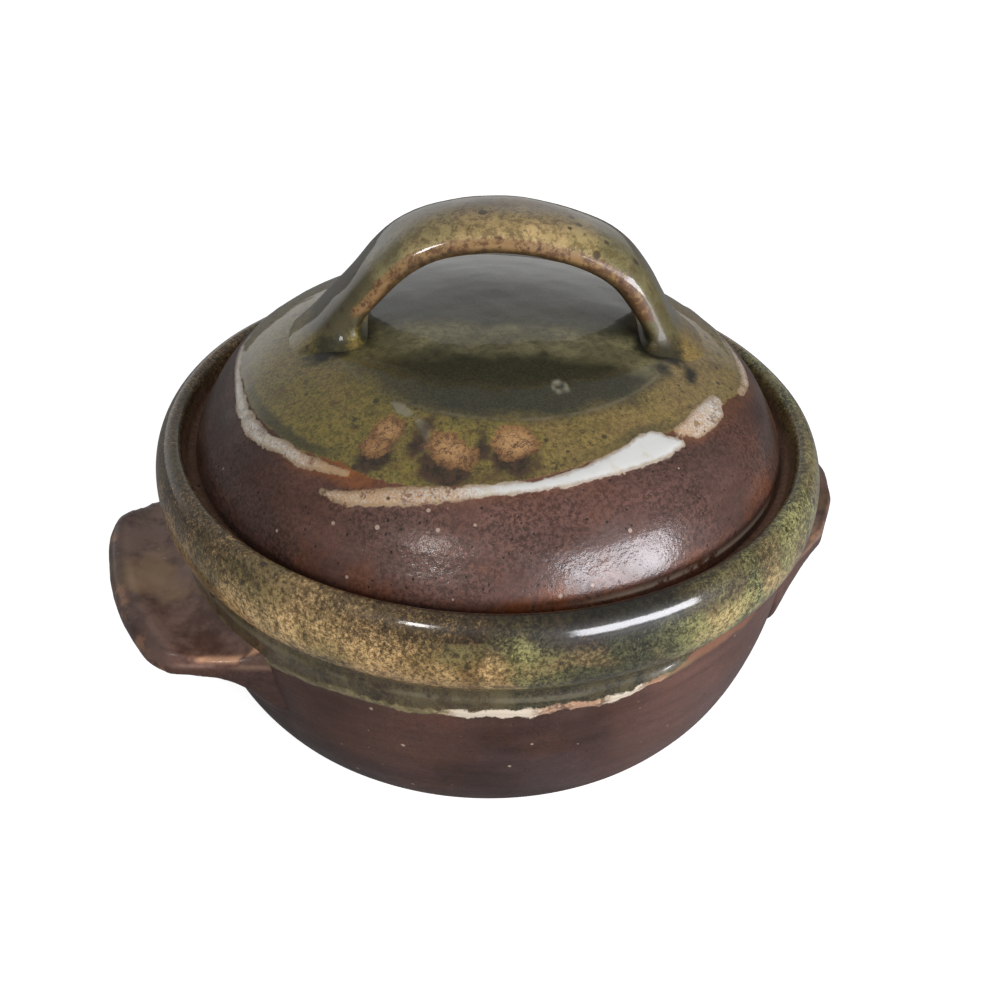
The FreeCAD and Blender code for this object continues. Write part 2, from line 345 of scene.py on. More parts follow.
# ------------------------------------------------------------------ what the finishes are mixed from
class Value:
    """A number or colour that changes over a surface, to reckon with like a plain number."""

    def __init__(self, recipe, socket):
        self.recipe, self.socket = recipe, socket

    def __add__(self, other):
        return self.recipe.math("ADD", self, other)

    def __sub__(self, other):
        return self.recipe.math("SUBTRACT", self, other)

    def __rsub__(self, other):
        return self.recipe.math("SUBTRACT", other, self)

    def __mul__(self, other):
        return self.recipe.math("MULTIPLY", self, other)

    def __abs__(self):
        return self.recipe.math("ABSOLUTE", self)

    def most(self, other):
        """The larger of the two."""
        return self.recipe.math("MAXIMUM", self, other)

    def clamped(self):
        """Kept between 0 and 1."""
        self.socket.node.use_clamp = True
        return self

    def span(self, low, high, to_low=0.0, to_high=1.0):
        """Runs smoothly from one number to another while this runs from low to high."""
        return self.recipe.get("ShaderNodeMapRange", (self, low, high, to_low, to_high),
                               interpolation_type="SMOOTHSTEP")

    def mix(self, a, b):
        """The colour a where this is 0, and b where it is 1."""
        return self.recipe.blend(self, a, b)

    def lay(self, mask, colour):
        """This colour with another laid over it by a mask."""
        return self.recipe.blend(mask, self, colour)

    def times(self, colour):
        return self.recipe.blend(1.0, self, colour, "MULTIPLY")


class Recipe:
    """Short names for the nodes that the finishes are mixed from."""

    def __init__(self, tree):
        self.tree, self.place = tree, None

    def feed(self, socket, value):
        source = getattr(value, "socket", value)
        if isinstance(source, bpy.types.NodeSocket):
            self.tree.links.new(source, socket)
        elif socket.type == "RGBA":
            socket.default_value = (*value, 1.0)
        else:
            socket.default_value = value

    def add(self, kind, inputs=(), **settings):
        """Adds a node, sets it up and feeds its inputs, which are in order or under their names."""
        node = self.tree.nodes.new(kind)
        for key, value in settings.items():
            setattr(node, key, value)
        for key, value in inputs.items() if isinstance(inputs, dict) else enumerate(inputs):
            self.feed(node.inputs[key], value)
        return node

    def get(self, kind, inputs=(), output=0, **settings):
        return Value(self, self.add(kind, inputs, **settings).outputs[output])

    def math(self, operation, *values):
        return self.get("ShaderNodeMath", values, operation=operation)

    def blend(self, mask, a, b, how="MIX"):
        return self.get("ShaderNodeMix", {0: mask, 6: a, 7: b}, 2, data_type="RGBA", blend_type=how)

    def stretch(self, scale, shift=(0, 0, 0)):
        return self.get("ShaderNodeMapping", {"Vector": self.place, "Scale": scale, "Location": shift})

    def noise(self, scale, detail, roughness, distortion=0.0, on=None):
        return self.get("ShaderNodeTexNoise", {
            "Vector": on or self.place, "Scale": scale, "Detail": detail, "Roughness": roughness,
            "Distortion": distortion})

    def read(self, name):
        """A number that was marked on the piece."""
        return self.get("ShaderNodeAttribute", output="Fac", attribute_name=name)

    def axes(self, vector):
        return [Value(self, part) for part in self.add("ShaderNodeSeparateXYZ", [vector]).outputs]


def effect(name, outputs, **inputs):
    """Draws an effect as a node group, once, for every finish that calls for it."""
    def build(draw):
        tree = bpy.data.node_groups.new(name, "ShaderNodeTree")
        sockets = [("Vector", "INPUT", "NodeSocketVector")]
        sockets += [(key.replace("_", " "), "INPUT",
                     "NodeSocketColor" if isinstance(value, tuple) else "NodeSocketFloat")
                    for key, value in inputs.items()]
        sockets += [(key, "OUTPUT", "NodeSocketColor" if key == "Color" else "NodeSocketFloat")
                    for key in outputs]
        for key, way, kind in sockets:
            tree.interface.new_socket(name=key, in_out=way, socket_type=kind)
        r = Recipe(tree)
        r.place, *given = [Value(r, socket) for socket in r.add("NodeGroupInput").outputs]
        drawn = draw(r, *given[:len(inputs)])
        r.add("NodeGroupOutput", drawn if isinstance(drawn, tuple) else [drawn])
        return tree

    def name_it(draw):
        def use(r, *values, on=None):
            tree = bpy.data.node_groups.get(name) or build(draw)
            feeds = [on or r.place, *values, *list(inputs.values())[len(values):]]
            made = [Value(r, socket) for socket in r.add("ShaderNodeGroup", node_tree=tree).outputs]
            for socket, value in zip(made[0].socket.node.inputs, feeds):
                r.feed(socket, value)
            return made[0] if len(made) == 1 else made
        return use
    return name_it


@effect("Ragged Edge", ["Mask"], Distance=0.0, Wander=1.0, Softness=0.4, Grain=260.0)
def edge(r, distance, wander, softness, grain):
    """Turns a distance to an edge, in millimetres, into a mask with a crawling, broken edge."""
    moved = distance + (r.noise(grain, 4.0, 0.62) - 0.5) * (wander * 4.0)
    return moved.span(softness * -1.0, softness)


@effect("Fired Specks", ["Mask"], Scale=300.0, Size=0.3, Amount=0.1)
def specks(r, scale, size, amount):
    """Scattered round specks, each of its own size, where a grain in the clay has melted out."""
    cell = r.add("ShaderNodeTexVoronoi", {"Vector": r.place, "Scale": scale}, feature="F1").outputs
    pick, share, _ = r.axes(cell["Color"])
    radius = size * (share * 0.8 + 0.25)
    chosen = r.math("LESS_THAN", pick, amount)
    return Value(r, cell["Distance"]).span(radius * 0.55, radius, 1.0, 0.0) * chosen


@effect("Glaze Mottle", ["Cloud", "Fleck", "Grain"], Scale=60.0)
def mottle(r, scale):
    """The broken colour of a runny ash glaze: soft clouds, fine dark flecks and pale grain."""
    cloud = r.noise(scale, 4.0, 0.6, 0.6).span(0.33, 0.68)
    fleck = r.noise(scale * 9.0, 3.0, 0.75).span(0.53, 0.66)
    grain = r.noise(scale * 26.0, 2.0, 0.7).span(0.36, 0.66)
    return cloud, fleck * r.noise(scale * 2.2, 2.0, 0.5).span(0.30, 0.62), grain


@effect("Crawled Net", ["Mask"], Scale=600.0, Width=0.05)
def net(r, scale, width):
    """The winding pale net of a glaze that has crept together over a darker one."""
    return abs(r.noise(scale, 3.0, 0.6, 0.9) - 0.5).span(width * 0.15, width, 1.0, 0.0)


@effect("Iron Slip", ["Color", "Roughness", "Height"], Dark=(0.05, 0.03, 0.02), Light=(0.1, 0.06, 0.05),
        Rust=(0.2, 0.06, 0.02), Rust_Amount=0.2, Light_Amount=0.5, Pepper=0.35)
def slip(r, dark, light, rust, rust_amount, light_amount, pepper):
    """The satin purple-brown slip: clouded, faintly ringed by the wheel, speckled, rust in places."""
    cloud = r.noise(26.0, 5.0, 0.6).span(0.30, 0.72)
    # The amount input is painted light: the slip is mixed paler where the lamps fall on it and darker away
    # from them.
    base = (cloud * 0.55 + (light_amount - 0.28)).clamped().mix(dark, light)
    rings = r.noise(210.0, 3.0, 0.6, on=r.stretch((0.12, 0.12, 1.0)))
    base = base.times(rings.span(0.32, 0.68).mix((0.84, 0.83, 0.82), (1.12, 1.11, 1.10)))
    bloom = r.noise(15.0, 4.0, 0.6, on=r.stretch((1, 1, 1.6), (0.4, 0.1, 0.2))).span(0.48, 0.64)
    base = base.lay(bloom * 0.50, (0.085, 0.056, 0.054))
    base = base.lay((r.noise(42.0, 4.0, 0.65).span(0.42, 0.66) * rust_amount).clamped(), rust)
    fine = r.noise(820.0, 4.0, 0.85).span(0.41, 0.59)
    strong = r.noise(48.0, 3.0, 0.6).span(0.35, 0.65, 0.35, 1.0) * (pepper * 0.9 + 0.12)
    base = base.lay(strong, base.times(fine.mix((0.42, 0.41, 0.40), (1.40, 1.40, 1.38))))
    base = base.lay(specks(r, 240.0, 0.19, 0.26) * 0.75, (0.50, 0.37, 0.29))
    pits = specks(r, 620.0, 0.32, 0.34, on=r.stretch((1, 1, 1), (0.31, 0.2, 0.1)))
    base = base.lay(pits * pepper, (0.022, 0.013, 0.010))
    rough = r.noise(75.0, 3.0, 0.6).span(0.3, 0.7, 0.27, 0.42)
    return base, rough, r.noise(620.0, 3.0, 0.65) * 0.50 + rings * 0.9 - pits * 0.5


@effect("Dome Ash", ["Color"], Olive=(0.15, 0.12, 0.04), Tan=(0.24, 0.16, 0.06))
def dome_ash(r, olive, tan):
    """The runny ash glaze of the lid: olive on one side, tan on the other, grained and flecked."""
    cloud, fleck, grain = mottle(r, 62.0)
    side = (r.axes(r.place)[0].span(-0.055, 0.030) + (cloud * 0.9 - 0.45)).clamped()
    dark = side.mix((0.045, 0.043, 0.010), (0.115, 0.066, 0.018))
    ash = side.mix(olive, tan).lay(r.noise(760.0, 3.0, 0.8).span(0.42, 0.58) * 0.72, dark)
    ash = ash.lay(grain * 0.36, (0.36, 0.28, 0.095))
    ash = ash.lay(r.noise(130.0, 4.0, 0.7).span(0.54, 0.66) * 0.55, (0.110, 0.062, 0.020))
    ash = ash.lay(fleck * 0.75, (0.040, 0.030, 0.010))
    return ash.lay(specks(r, 260.0, 0.30, 0.28) * 0.80, (0.036, 0.023, 0.010))


def empty_tree(owner):
    owner.use_nodes = True
    owner.node_tree.nodes.clear()
    return Recipe(owner.node_tree)


def new_finish(name):
    """A material of satin clay under a coat of glass: itself, its recipe and its surface's inputs."""
    material = bpy.data.materials.new(name)
    r = empty_tree(material)
    r.place = r.get("ShaderNodeTexCoord", output="Object")
    surface = r.add("ShaderNodeBsdfPrincipled", {"Specular IOR Level": 0.35, "Coat Roughness": 0.07,
                                                 "Coat IOR": 1.52})
    r.add("ShaderNodeOutputMaterial", [surface.outputs[0]])
    return material, r, surface.inputs


def bump(r, surface, clay, glass):
    """Fine relief: on the fired clay, and on the glass that lies over it."""
    for socket, height in (("Normal", clay), ("Coat Normal", glass)):
        r.feed(surface[socket], r.get("ShaderNodeBump", {"Distance": 0.00022, "Height": height}))


def burned_clay(r, light, dark):
    """Unglazed clay, finely grained between two colours."""
    return r.noise(700.0, 4.0, 0.75).span(0.3, 0.7).mix(light, dark)


# ------------------------------------------------------------------ the bowl
# Round the rim, in degrees from +X: height of the glaze's lower edge above the table, in mm.
GLAZE_EDGE = [(-180, 54), (-165, 51), (-154, 50), (-142, 52.6), (-131, 52.4), (-120, 52.8),
              (-114, 53.9), (-107, 53.3), (-102, 54.8), (-97, 54.0), (-92, 55.0), (-86, 57.4),
              (-80, 61.0), (-70, 63.8), (-50, 64.6), (-30, 63.0), (0, 57.5), (28, 55.0), (52, 57.5),
              (75, 54.0), (98, 51.5), (120, 55.0), (140, 57.0), (160, 53.0)]
# Height of the middle of the cream line that runs along that edge, in mm.
CREAM_LINE = [(-180, 54.9), (-154, 50.9), (-142, 53.5), (-131, 53.3), (-120, 53.7), (-114, 54.8),
              (-107, 54.2), (-102, 55.7), (-97, 54.9), (-92, 55.5), (-86, 57.0), (-82, 58.0),
              (-77, 58.6), (-70, 59.0), (-60, 60.0), (-50, 60.6), (0, 58.4), (28, 55.9), (52, 58.4),
              (75, 54.9), (98, 52.4), (120, 55.9), (140, 57.9), (160, 53.9)]
# What else changes round the rim, in degrees from +X: how far the glaze has turned from dry khaki (0)
# to thick green (1), how much cream its edge shows, how white (1) or tan (0) that is, and then the
# strength of the painted shade and dark reflection on the rim's top beside the lid, of painted shade
# in patches round the rim, of sooty and amber places, and of the stain under the cream.
ROUND_THE_RIM = {
    "greenness": [(-180, 0.20), (-150, 0.12), (-128, 0.10), (-118, 0.25), (-110, 0.85), (-95, 0.95),
                  (-70, 0.76), (-45, 0.66), (0, 0.68), (45, 0.45), (90, 0.70), (135, 0.30)],
    "cream_shows": [(-180, 0.34), (-150, 0.38), (-128, 0.42), (-122, 0.55), (-119, 1.0), (-91, 1.0),
                    (-87, 0.72), (-83, 0.36), (-79, 0.20), (-55, 0.1), (0, 0.2), (60, 0.6), (80, 0.9),
                    (100, 0.35), (140, 0.5)],
    "cream_white": [(-180, 0.3), (-122, 0.45), (-119, 1.0), (-110, 0.95), (-106, 0.30), (-98, 0.2),
                    (-94.5, 0.9), (-91.5, 0.9), (-88.5, 0.2), (-60, 0.1), (60, 0.8), (100, 0.4)],
    "shoulder": [(-180, 0.2), (-150, 0.35), (-125, 0.45), (-112, 1.0), (-88, 1.0), (-72, 0.6),
                 (-55, 0.1), (30, 0.1), (90, 0.6)],
    "burnt": [(-180, 0.75), (-165, 0.45), (-150, 0.0), (-141, 0.10), (-133, 0.42), (-118, 0.40),
              (-108, 0.46), (-97, 0.25), (-82, 0.0), (100, 0.0)],
    "soot": [(-180, 0.9), (-160, 0.8), (-147, 0.45), (-130, 0.80), (-115, 0.9), (-60, 0.9), (60, 0.6)],
    "amber": [(-150, 0.1), (-128, 0.4), (-118, 1.0), (-112, 0.8), (-104, 0.1), (30, 0.6), (60, 0.2)],
    "stained": [(-125, 0), (-108, 0.35), (-95, 0.9), (-72, 0.9), (-60, 0.5), (-40, 0), (40, 0),
                (70, 0.6), (100, 0)]}


def slip_light(angles):
    """Painted light round the pot: how much paler the slip is painted where the lamps fall on it, and how
    much darker away from them.
    """
    return by_angle(angles, [(-180, 0.18), (-150, 0.24), (-125, 0.22), (-110, 0.12), (-95, 0.26),
                             (-82, 0.62), (-72, 0.80), (-50, 0.68), (0, 0.40), (90, 0.30)])


def bowl_profile(s):
    """The bowl in section, from the middle of its floor, over the rim, to the middle of its foot."""
    rim, crest, foot = s.rim_radius / MM, s.crest_height / MM, s.foot_radius / MM
    wall = s.wall / MM
    outer = rim - 5.5
    inner = outer - wall
    ledge = crest - 7.7
    mouth = rim - 19.6
    floor = 9.0
    line = [(4, floor), (22, floor), (42, floor), (foot - 13, floor)]
    line += bezier(line[-1], (foot + 8.2, floor), (inner, crest - 54), (inner, crest - 31.7), 7)
    line += bezier(line[-1], (inner, crest - 22), (mouth, crest - 16), (mouth, crest - 10), 4)
    line += [(mouth + 0.1, ledge - 1.0), (mouth + 0.7, ledge - 0.1), (mouth + 2.0, ledge),
             (mouth + 5.5, ledge), (mouth + 8.8, ledge), (mouth + 9.9, ledge + 0.5),
             (mouth + 10.3, ledge + 2.0), (rim - 8.9, crest - 3.6), (rim - 8.4, crest - 1.5),
             (rim - 7.4, crest - 0.2), (rim - 5.6, crest + 0.05), (rim - 3.8, crest - 0.8),
             (rim - 2.1, crest - 2.9), (rim - 0.9, crest - 5.9), (rim - 0.15, crest - 9.2),
             (rim + 0.05, crest - 12.4), (rim - 0.2, crest - 15.6), (rim - 0.9, crest - 18.6),
             (rim - 2.3, crest - 21.4), (rim - 4.2, crest - 23.6), (outer - 0.2, crest - 25.0),
             (outer - 0.45, crest - 26.4), (outer + 0.25, crest - 28.0), (outer + 0.25, crest - 29.6),
             (outer - 0.25, crest - 31.6), (outer - 0.4, crest - 35.0)]
    line += bezier(line[-1], (outer - 1.0, crest - 48), (foot + 15.2, 8.4), (foot + 1.1, 1.6), 8)
    line += [(foot, 0.6), (foot - 0.8, 0.05), (foot - 3, 0), (foot - 7, 0), (foot - 9.4, 0.05),
             (foot - 10.3, 0.7), (foot - 11.3, 1.8), (foot - 13, 2.0), (foot - 20, 2.0), (28, 2.0),
             (4, 2.0)]
    return line


def bowl_finish(s, rust):
    material, r, surface = new_finish("Bean pot ash rim over iron slip")
    down, greenness = r.read("down_from_crest"), r.read("greenness")
    base, slip_rough, slip_height = slip(r, s.dark_clay, s.clay, rust, 0.10, r.read("slip_light"), 0.15)

    cloud, fleck, grain = mottle(r, 55.0)
    streaks = r.noise(170.0, 4.0, 0.65, on=r.stretch((1.0, 1.0, 0.35)))
    grit = r.noise(1450.0, 3.0, 0.78, 0.2)
    drift = r.noise(95.0, 4.0, 0.7, on=r.stretch((1.0, 1.0, 0.6))) * 0.50 - 0.25
    dry = cloud.mix(s.khaki, (0.270, 0.180, 0.062)).lay(grain * 0.45, (0.62, 0.47, 0.22))
    dry = dry.lay(r.read("amber") * streaks.span(0.30, 0.62) * 0.85, (0.165, 0.092, 0.022))
    sooty = (grit + drift + down.span(17.0, 2.0, -0.050, 0.13)).span(0.50, 0.60)
    dry = dry.lay(sooty * r.read("soot"), (0.062, 0.043, 0.016))
    runs = r.noise(260.0, 4.0, 0.75, on=r.stretch((1.0, 1.0, 0.45)))
    dry = dry.lay(runs.span(0.56, 0.66) * 0.70, (0.050, 0.032, 0.012))

    cells = (grit + drift).span(0.44, 0.56)
    web = net(r, 900.0, 0.050, on=r.stretch((1.0, 1.0, 0.7)))
    knit = greenness.span(0.84, 0.93).mix(cells, web.most(cells * 0.45) * 0.95)
    thick = streaks.span(0.38, 0.64).mix(s.deep_green, s.green).lay(knit * 0.88, (0.29, 0.275, 0.105))
    thick = thick.lay(greenness.span(0.82, 0.93) * 0.85, thick.times((0.24, 0.26, 0.36)))
    glaze = (greenness + (cloud * 0.5 - 0.25)).clamped().span(0.15, 0.90).mix(dry, thick)
    ground = r.noise(760.0, 4.0, 0.82) + drift * 0.35
    glaze = glaze.times(ground.span(0.40, 0.60).mix((0.46, 0.41, 0.32), (1.66, 1.68, 1.70)))
    # Painted shade: the rim is darkened in patches round it.
    glaze = glaze.lay(r.read("burnt"), glaze.times((0.42, 0.34, 0.27)))
    # Painted shade and dark reflection on the rim's top beside the lid, strongest at the front.
    shoulder = (down + (cloud * 5.0 - 2.5)).span(9.5, 4.0) * r.read("shoulder")
    glaze = glaze.lay(shoulder * 0.92, glaze.times((0.22, 0.17, 0.16)))
    # Painted shade under the rolled rim, laid over the glaze's own streaks.
    beneath = (streaks + cells * 0.14).span(0.40, 0.74).mix((0.014, 0.012, 0.007), (0.088, 0.070, 0.032))
    glaze = glaze.lay(down.span(24.0, 29.0) * 0.90, beneath)
    # A pale line painted along the ridge under the roll as its highlight.
    ridge = abs(down - 31.5).span(0.2, 1.3, 1.0, 0.0) * r.noise(50.0, 3.0, 0.6).span(0.35, 0.6)
    glaze = glaze.lay(ridge * 0.40, (0.22, 0.20, 0.13))
    glaze = glaze.lay(r.noise(105.0, 4.0, 0.75).span(0.60, 0.68) * 0.75, (0.055, 0.034, 0.016))
    glaze = glaze.lay(specks(r, 75.0, 0.20, 0.20) * 0.9, (0.030, 0.017, 0.012))
    glaze = glaze.lay(specks(r, 260.0, 0.30, 0.22) * 0.85, (0.040, 0.026, 0.013))

    outside = edge(r, r.read("outside_gallery"), 0.9, 0.8, 300.0)
    glazed = edge(r, r.read("above_glaze_edge"), 0.8, 0.25, 210.0) * outside
    from_cream, shows, white = r.read("from_cream"), r.read("cream_shows"), r.read("cream_white")
    cream = edge(r, r.read("cream_width") - abs(from_cream), 1.2, 0.35, 230.0) * shows.span(0.1, 0.7)
    rubbed = r.noise(190.0, 4.0, 0.8).span(0.47, 0.56) * white.span(0.85, 0.35)
    cream = cream * outside * (1.0 - rubbed * 0.65)
    tone = (white + (grain * 0.4 - 0.2)).span(0.25, 0.75).mix((0.44, 0.25, 0.15), s.cream)
    tone = shows.span(0.45, 0.7).mix((0.38, 0.32, 0.15), tone)

    inside = cloud.mix((0.075, 0.043, 0.022), (0.145, 0.105, 0.045)).lay(grain * 0.35, (0.20, 0.165, 0.085))
    inside = inside.lay(fleck * 0.7, (0.03, 0.018, 0.012))
    inside = inside.lay(down.span(150.0, 195.0) * 0.8, (0.030, 0.030, 0.015))
    lined, bare = edge(r, r.read("liner"), 0.5, 0.4, 300.0), edge(r, r.read("bare"), 0.4, 0.4, 320.0)
    raw = burned_clay(r, s.bare_clay, (0.20, 0.11, 0.075))
    raw = raw.lay(specks(r, 520.0, 0.4, 0.12) * 0.8, (0.05, 0.03, 0.02))

    stained = (from_cream + drift * 9.0).span(-1.6, 0.6) * r.read("stained")
    base = base.lay(stained * 0.70, (0.25, 0.115, 0.065)).lay(bare, raw).lay(glazed, glaze)
    r.feed(surface["Base Color"], base.lay(cream, tone).lay(lined, inside))
    glass = glazed.most(lined)
    r.feed(surface["Roughness"], slip_rough.lay(bare, BARE_ROUGHNESS).lay(glass, GLAZE_ROUGHNESS))
    r.feed(surface["Coat Weight"], glass.most((1.0 - bare) * 0.10))
    peel = r.noise(130.0, 2.0, 0.5) * 0.34
    fine = ground.span(0.40, 0.60) * 0.020 + specks(r, 330.0, 0.20, 0.06) * -0.6
    bump(r, surface, slip_height.lay(glass, peel + fine), peel + ground * 0.08)
    return material


class BEANPOT_OT_bowl(bpy.types.Operator):
    """Throw the bowl with its rolled rim and gallery, and glaze its rim and inside"""
    bl_idname = "bean_pot.bowl"
    bl_label = "Bowl"

    def execute(self, context):
        s = context.scene.bean_pot_bowl
        profile = bowl_profile(s)
        piece = throw("bean_pot_bowl", profile, steps=88)
        rim, crest, foot = s.rim_radius / MM, s.crest_height / MM, s.foot_radius / MM
        undulate(piece, "Thrown wall", 0.045, 0.0006, lambda p: smoothstep(3, 12, p[:, 2])
                 * np.where(p[:, 2] > crest - 16, smoothstep(rim - 8, rim - 5, from_axis(p)), 1))
        p = places(piece)
        height, radius, angles = p[:, 2], from_axis(p), around(p)
        waves = np.radians(angles)
        ripple = 0.3 * np.sin(waves * 23) + 0.25 * np.sin(waves * 41 + 1.3)
        gallery = rim - 9.2
        inner = rim - 5.5 - s.wall / MM + 1.8
        outside = (radius > gallery - 0.5) & (radius > 70)
        outer_wall = sorted((z, wall_radius) for wall_radius, z in profile[-21:-9])
        wall_here = np.interp(height, [z for z, _ in outer_wall], [out for _, out in outer_wall])
        in_bowl = ((radius < wall_here - s.wall / MM * 0.5) & (height > 5.0)
                   & (height < crest - 8.6) & (radius < inner))
        bare = np.where((height < 3.2) & (radius < foot + 3) & ~in_bowl, 3.0 - height, -BAND)
        in_gallery = (height > crest - 10.2) & (radius < gallery + 1.0)
        down = np.where(radius > rim - 8.5, np.abs(crest - height) * 1.12, 0)
        edge_up = np.where(outside, height - by_angle(angles, GLAZE_EDGE) - ripple, -BAND)
        line_up = height - by_angle(angles, CREAM_LINE) - ripple
        rim_marks = {name: by_angle(angles, table) for name, table in ROUND_THE_RIM.items()}
        mark(piece, **rim_marks, above_glaze_edge=np.clip(edge_up, -BAND, 40),
             from_cream=np.where(outside, np.clip(line_up, -BAND, BAND), -BAND),
             outside_gallery=np.clip(radius - (rim - 9.0), -BAND, BAND),
             cream_width=0.75 + 0.75 * rim_marks["cream_shows"],
             # Painted light round the pot, with painted shade low on the wall near the table.
             slip_light=slip_light(angles) - 0.16 * smoothstep(34, 6, height),
             down_from_crest=np.where(in_bowl, 100 + (inner - radius) + (crest - height), down),
             liner=np.where(in_bowl, np.minimum(crest - 9.6 - height, BAND), -BAND),
             bare=np.where(in_gallery, np.maximum(bare, gallery + 0.6 - radius), bare))
        on_wall = (radius > inner + 2) & (height < crest - 24)
        bead = np.exp(-((edge_up - 1.0) / 1.3) ** 2) * 0.35 + smoothstep(-0.6, 1.2, edge_up) * 0.22
        raise_surface(piece, "Glaze bead", np.where(on_wall, bead, 0))
        finish_piece(piece, "pot", "pot_body",
                     bowl_finish(s, context.scene.bean_pot_lid.rust))
        return {"FINISHED"}


# ------------------------------------------------------------------ the lugs
# Planes that trim a spun lug to its outline: a point of each and the way it faces, in mm.
LEFT_LUG_CUTS = [((115.2, 21.2), (0.78, 0.62)), ((109.0, 28.6), (0.437, 0.899)),
                 ((113.6, -31.5), (0.80, -0.60)), ((107.0, -39.8), (0.469, -0.883)),
                 ((94.8, -46.2), (0.158, -0.987))]
RIGHT_LUG_CUTS = [((115.2, 21.2), (0.78, 0.62)), ((109.0, 28.6), (0.437, 0.899)),
                  ((108.6, -33.9), (0.866, -0.50)), ((105.0, -40.4), (0.70, -0.713)),
                  ((93.6, -51.6), (0.458, -0.889))]
# The inner orange streak on a lug's edge, iron colour brightened as a painted glint: its middle in mm, and
# the direction across it.
SCORCH, ACROSS_SCORCH = np.array((82.7, 37.2)), np.array((0.237, 0.971))


def lug_section(s):
    """The lug in section, as (distance from the axis, height) in mm: lip, hollow top, nose, gusset."""
    reach, lip = s.reach / MM, LUG_HIGH.z / MM
    under = lip - s.thickness / MM
    return [(reach - 28, lip + 2.0), (reach - 24.5, lip + 1.2), (reach - 22.0, lip - 0.9),
            (reach - 19.0, lip - 2.1), (reach - 15.5, lip - 2.6), (reach - 12.0, lip - 2.6),
            (reach - 8.8, lip - 1.7), (reach - 6.2, lip - 0.5), (reach - 3.6, lip - 0.1),
            (reach - 1.5, lip - 1.1), (reach - 0.2, lip - 3.2), (reach + 0.1, lip - 5.4),
            (reach - 0.6, under + 1.9), (reach - 2.4, under + 0.5), (reach - 5.5, under),
            (reach - 9.5, under - 0.1), (reach - 13.5, under - 0.5), (reach - 17.0, under - 2.0),
            (reach - 20.0, under - 5.0), (reach - 22.4, under - 9.0), (reach - 24.5, under - 12.5),
            (reach - 28, under - 14.0)]


def lug_finish(s, bowl, rust):
    material, r, surface = new_finish("Bean pot lug slip")
    base, slip_rough, slip_height = slip(r, bowl.dark_clay, bowl.clay, rust, 0.12, r.read("slip_light"))
    lip = r.read("lip")
    # The lug's flat top is painted lighter as lit, fading before the lip.
    flat = r.read("flat") * lip.span(0.95, 0.30, 0.35, 1.0)
    cloud = r.noise(58.0, 4.0, 0.7).span(0.38, 0.62)
    base = base.lay(flat * 0.58, cloud.mix((0.13, 0.062, 0.045), (0.40, 0.245, 0.190)))
    wear = r.noise(62.0, 4.0, 0.7, on=r.stretch((1, 1, 1), (0.02, 0.11, 0.0))).span(0.50, 0.62)
    base = base.lay(lip.span(0.72, 0.98) * wear * 0.80, s.edge_rust)
    tan = r.noise(34.0, 3.0, 0.6, on=r.stretch((1, 1, 1), (0.05, 0.3, 0.0))).span(0.50, 0.66)
    base = base.lay(tan * flat * 0.60, (0.46, 0.30, 0.155))
    base = base.lay(specks(r, 420.0, 0.28, 0.12) * 0.45, (0.40, 0.31, 0.25))
    # Orange streaks on the lug's edges: iron colour brightened as painted glints.
    scorched = r.read("scorched") * r.noise(160.0, 3.0, 0.7).span(0.26, 0.42)
    r.feed(surface["Base Color"], base.lay(scorched, (0.56, 0.31, 0.18)))
    r.feed(surface["Roughness"], slip_rough)
    surface["Coat Weight"].default_value = 0.36
    bump(r, surface, slip_height, r.noise(620.0, 3.0, 0.65) * 0.5)
    return material


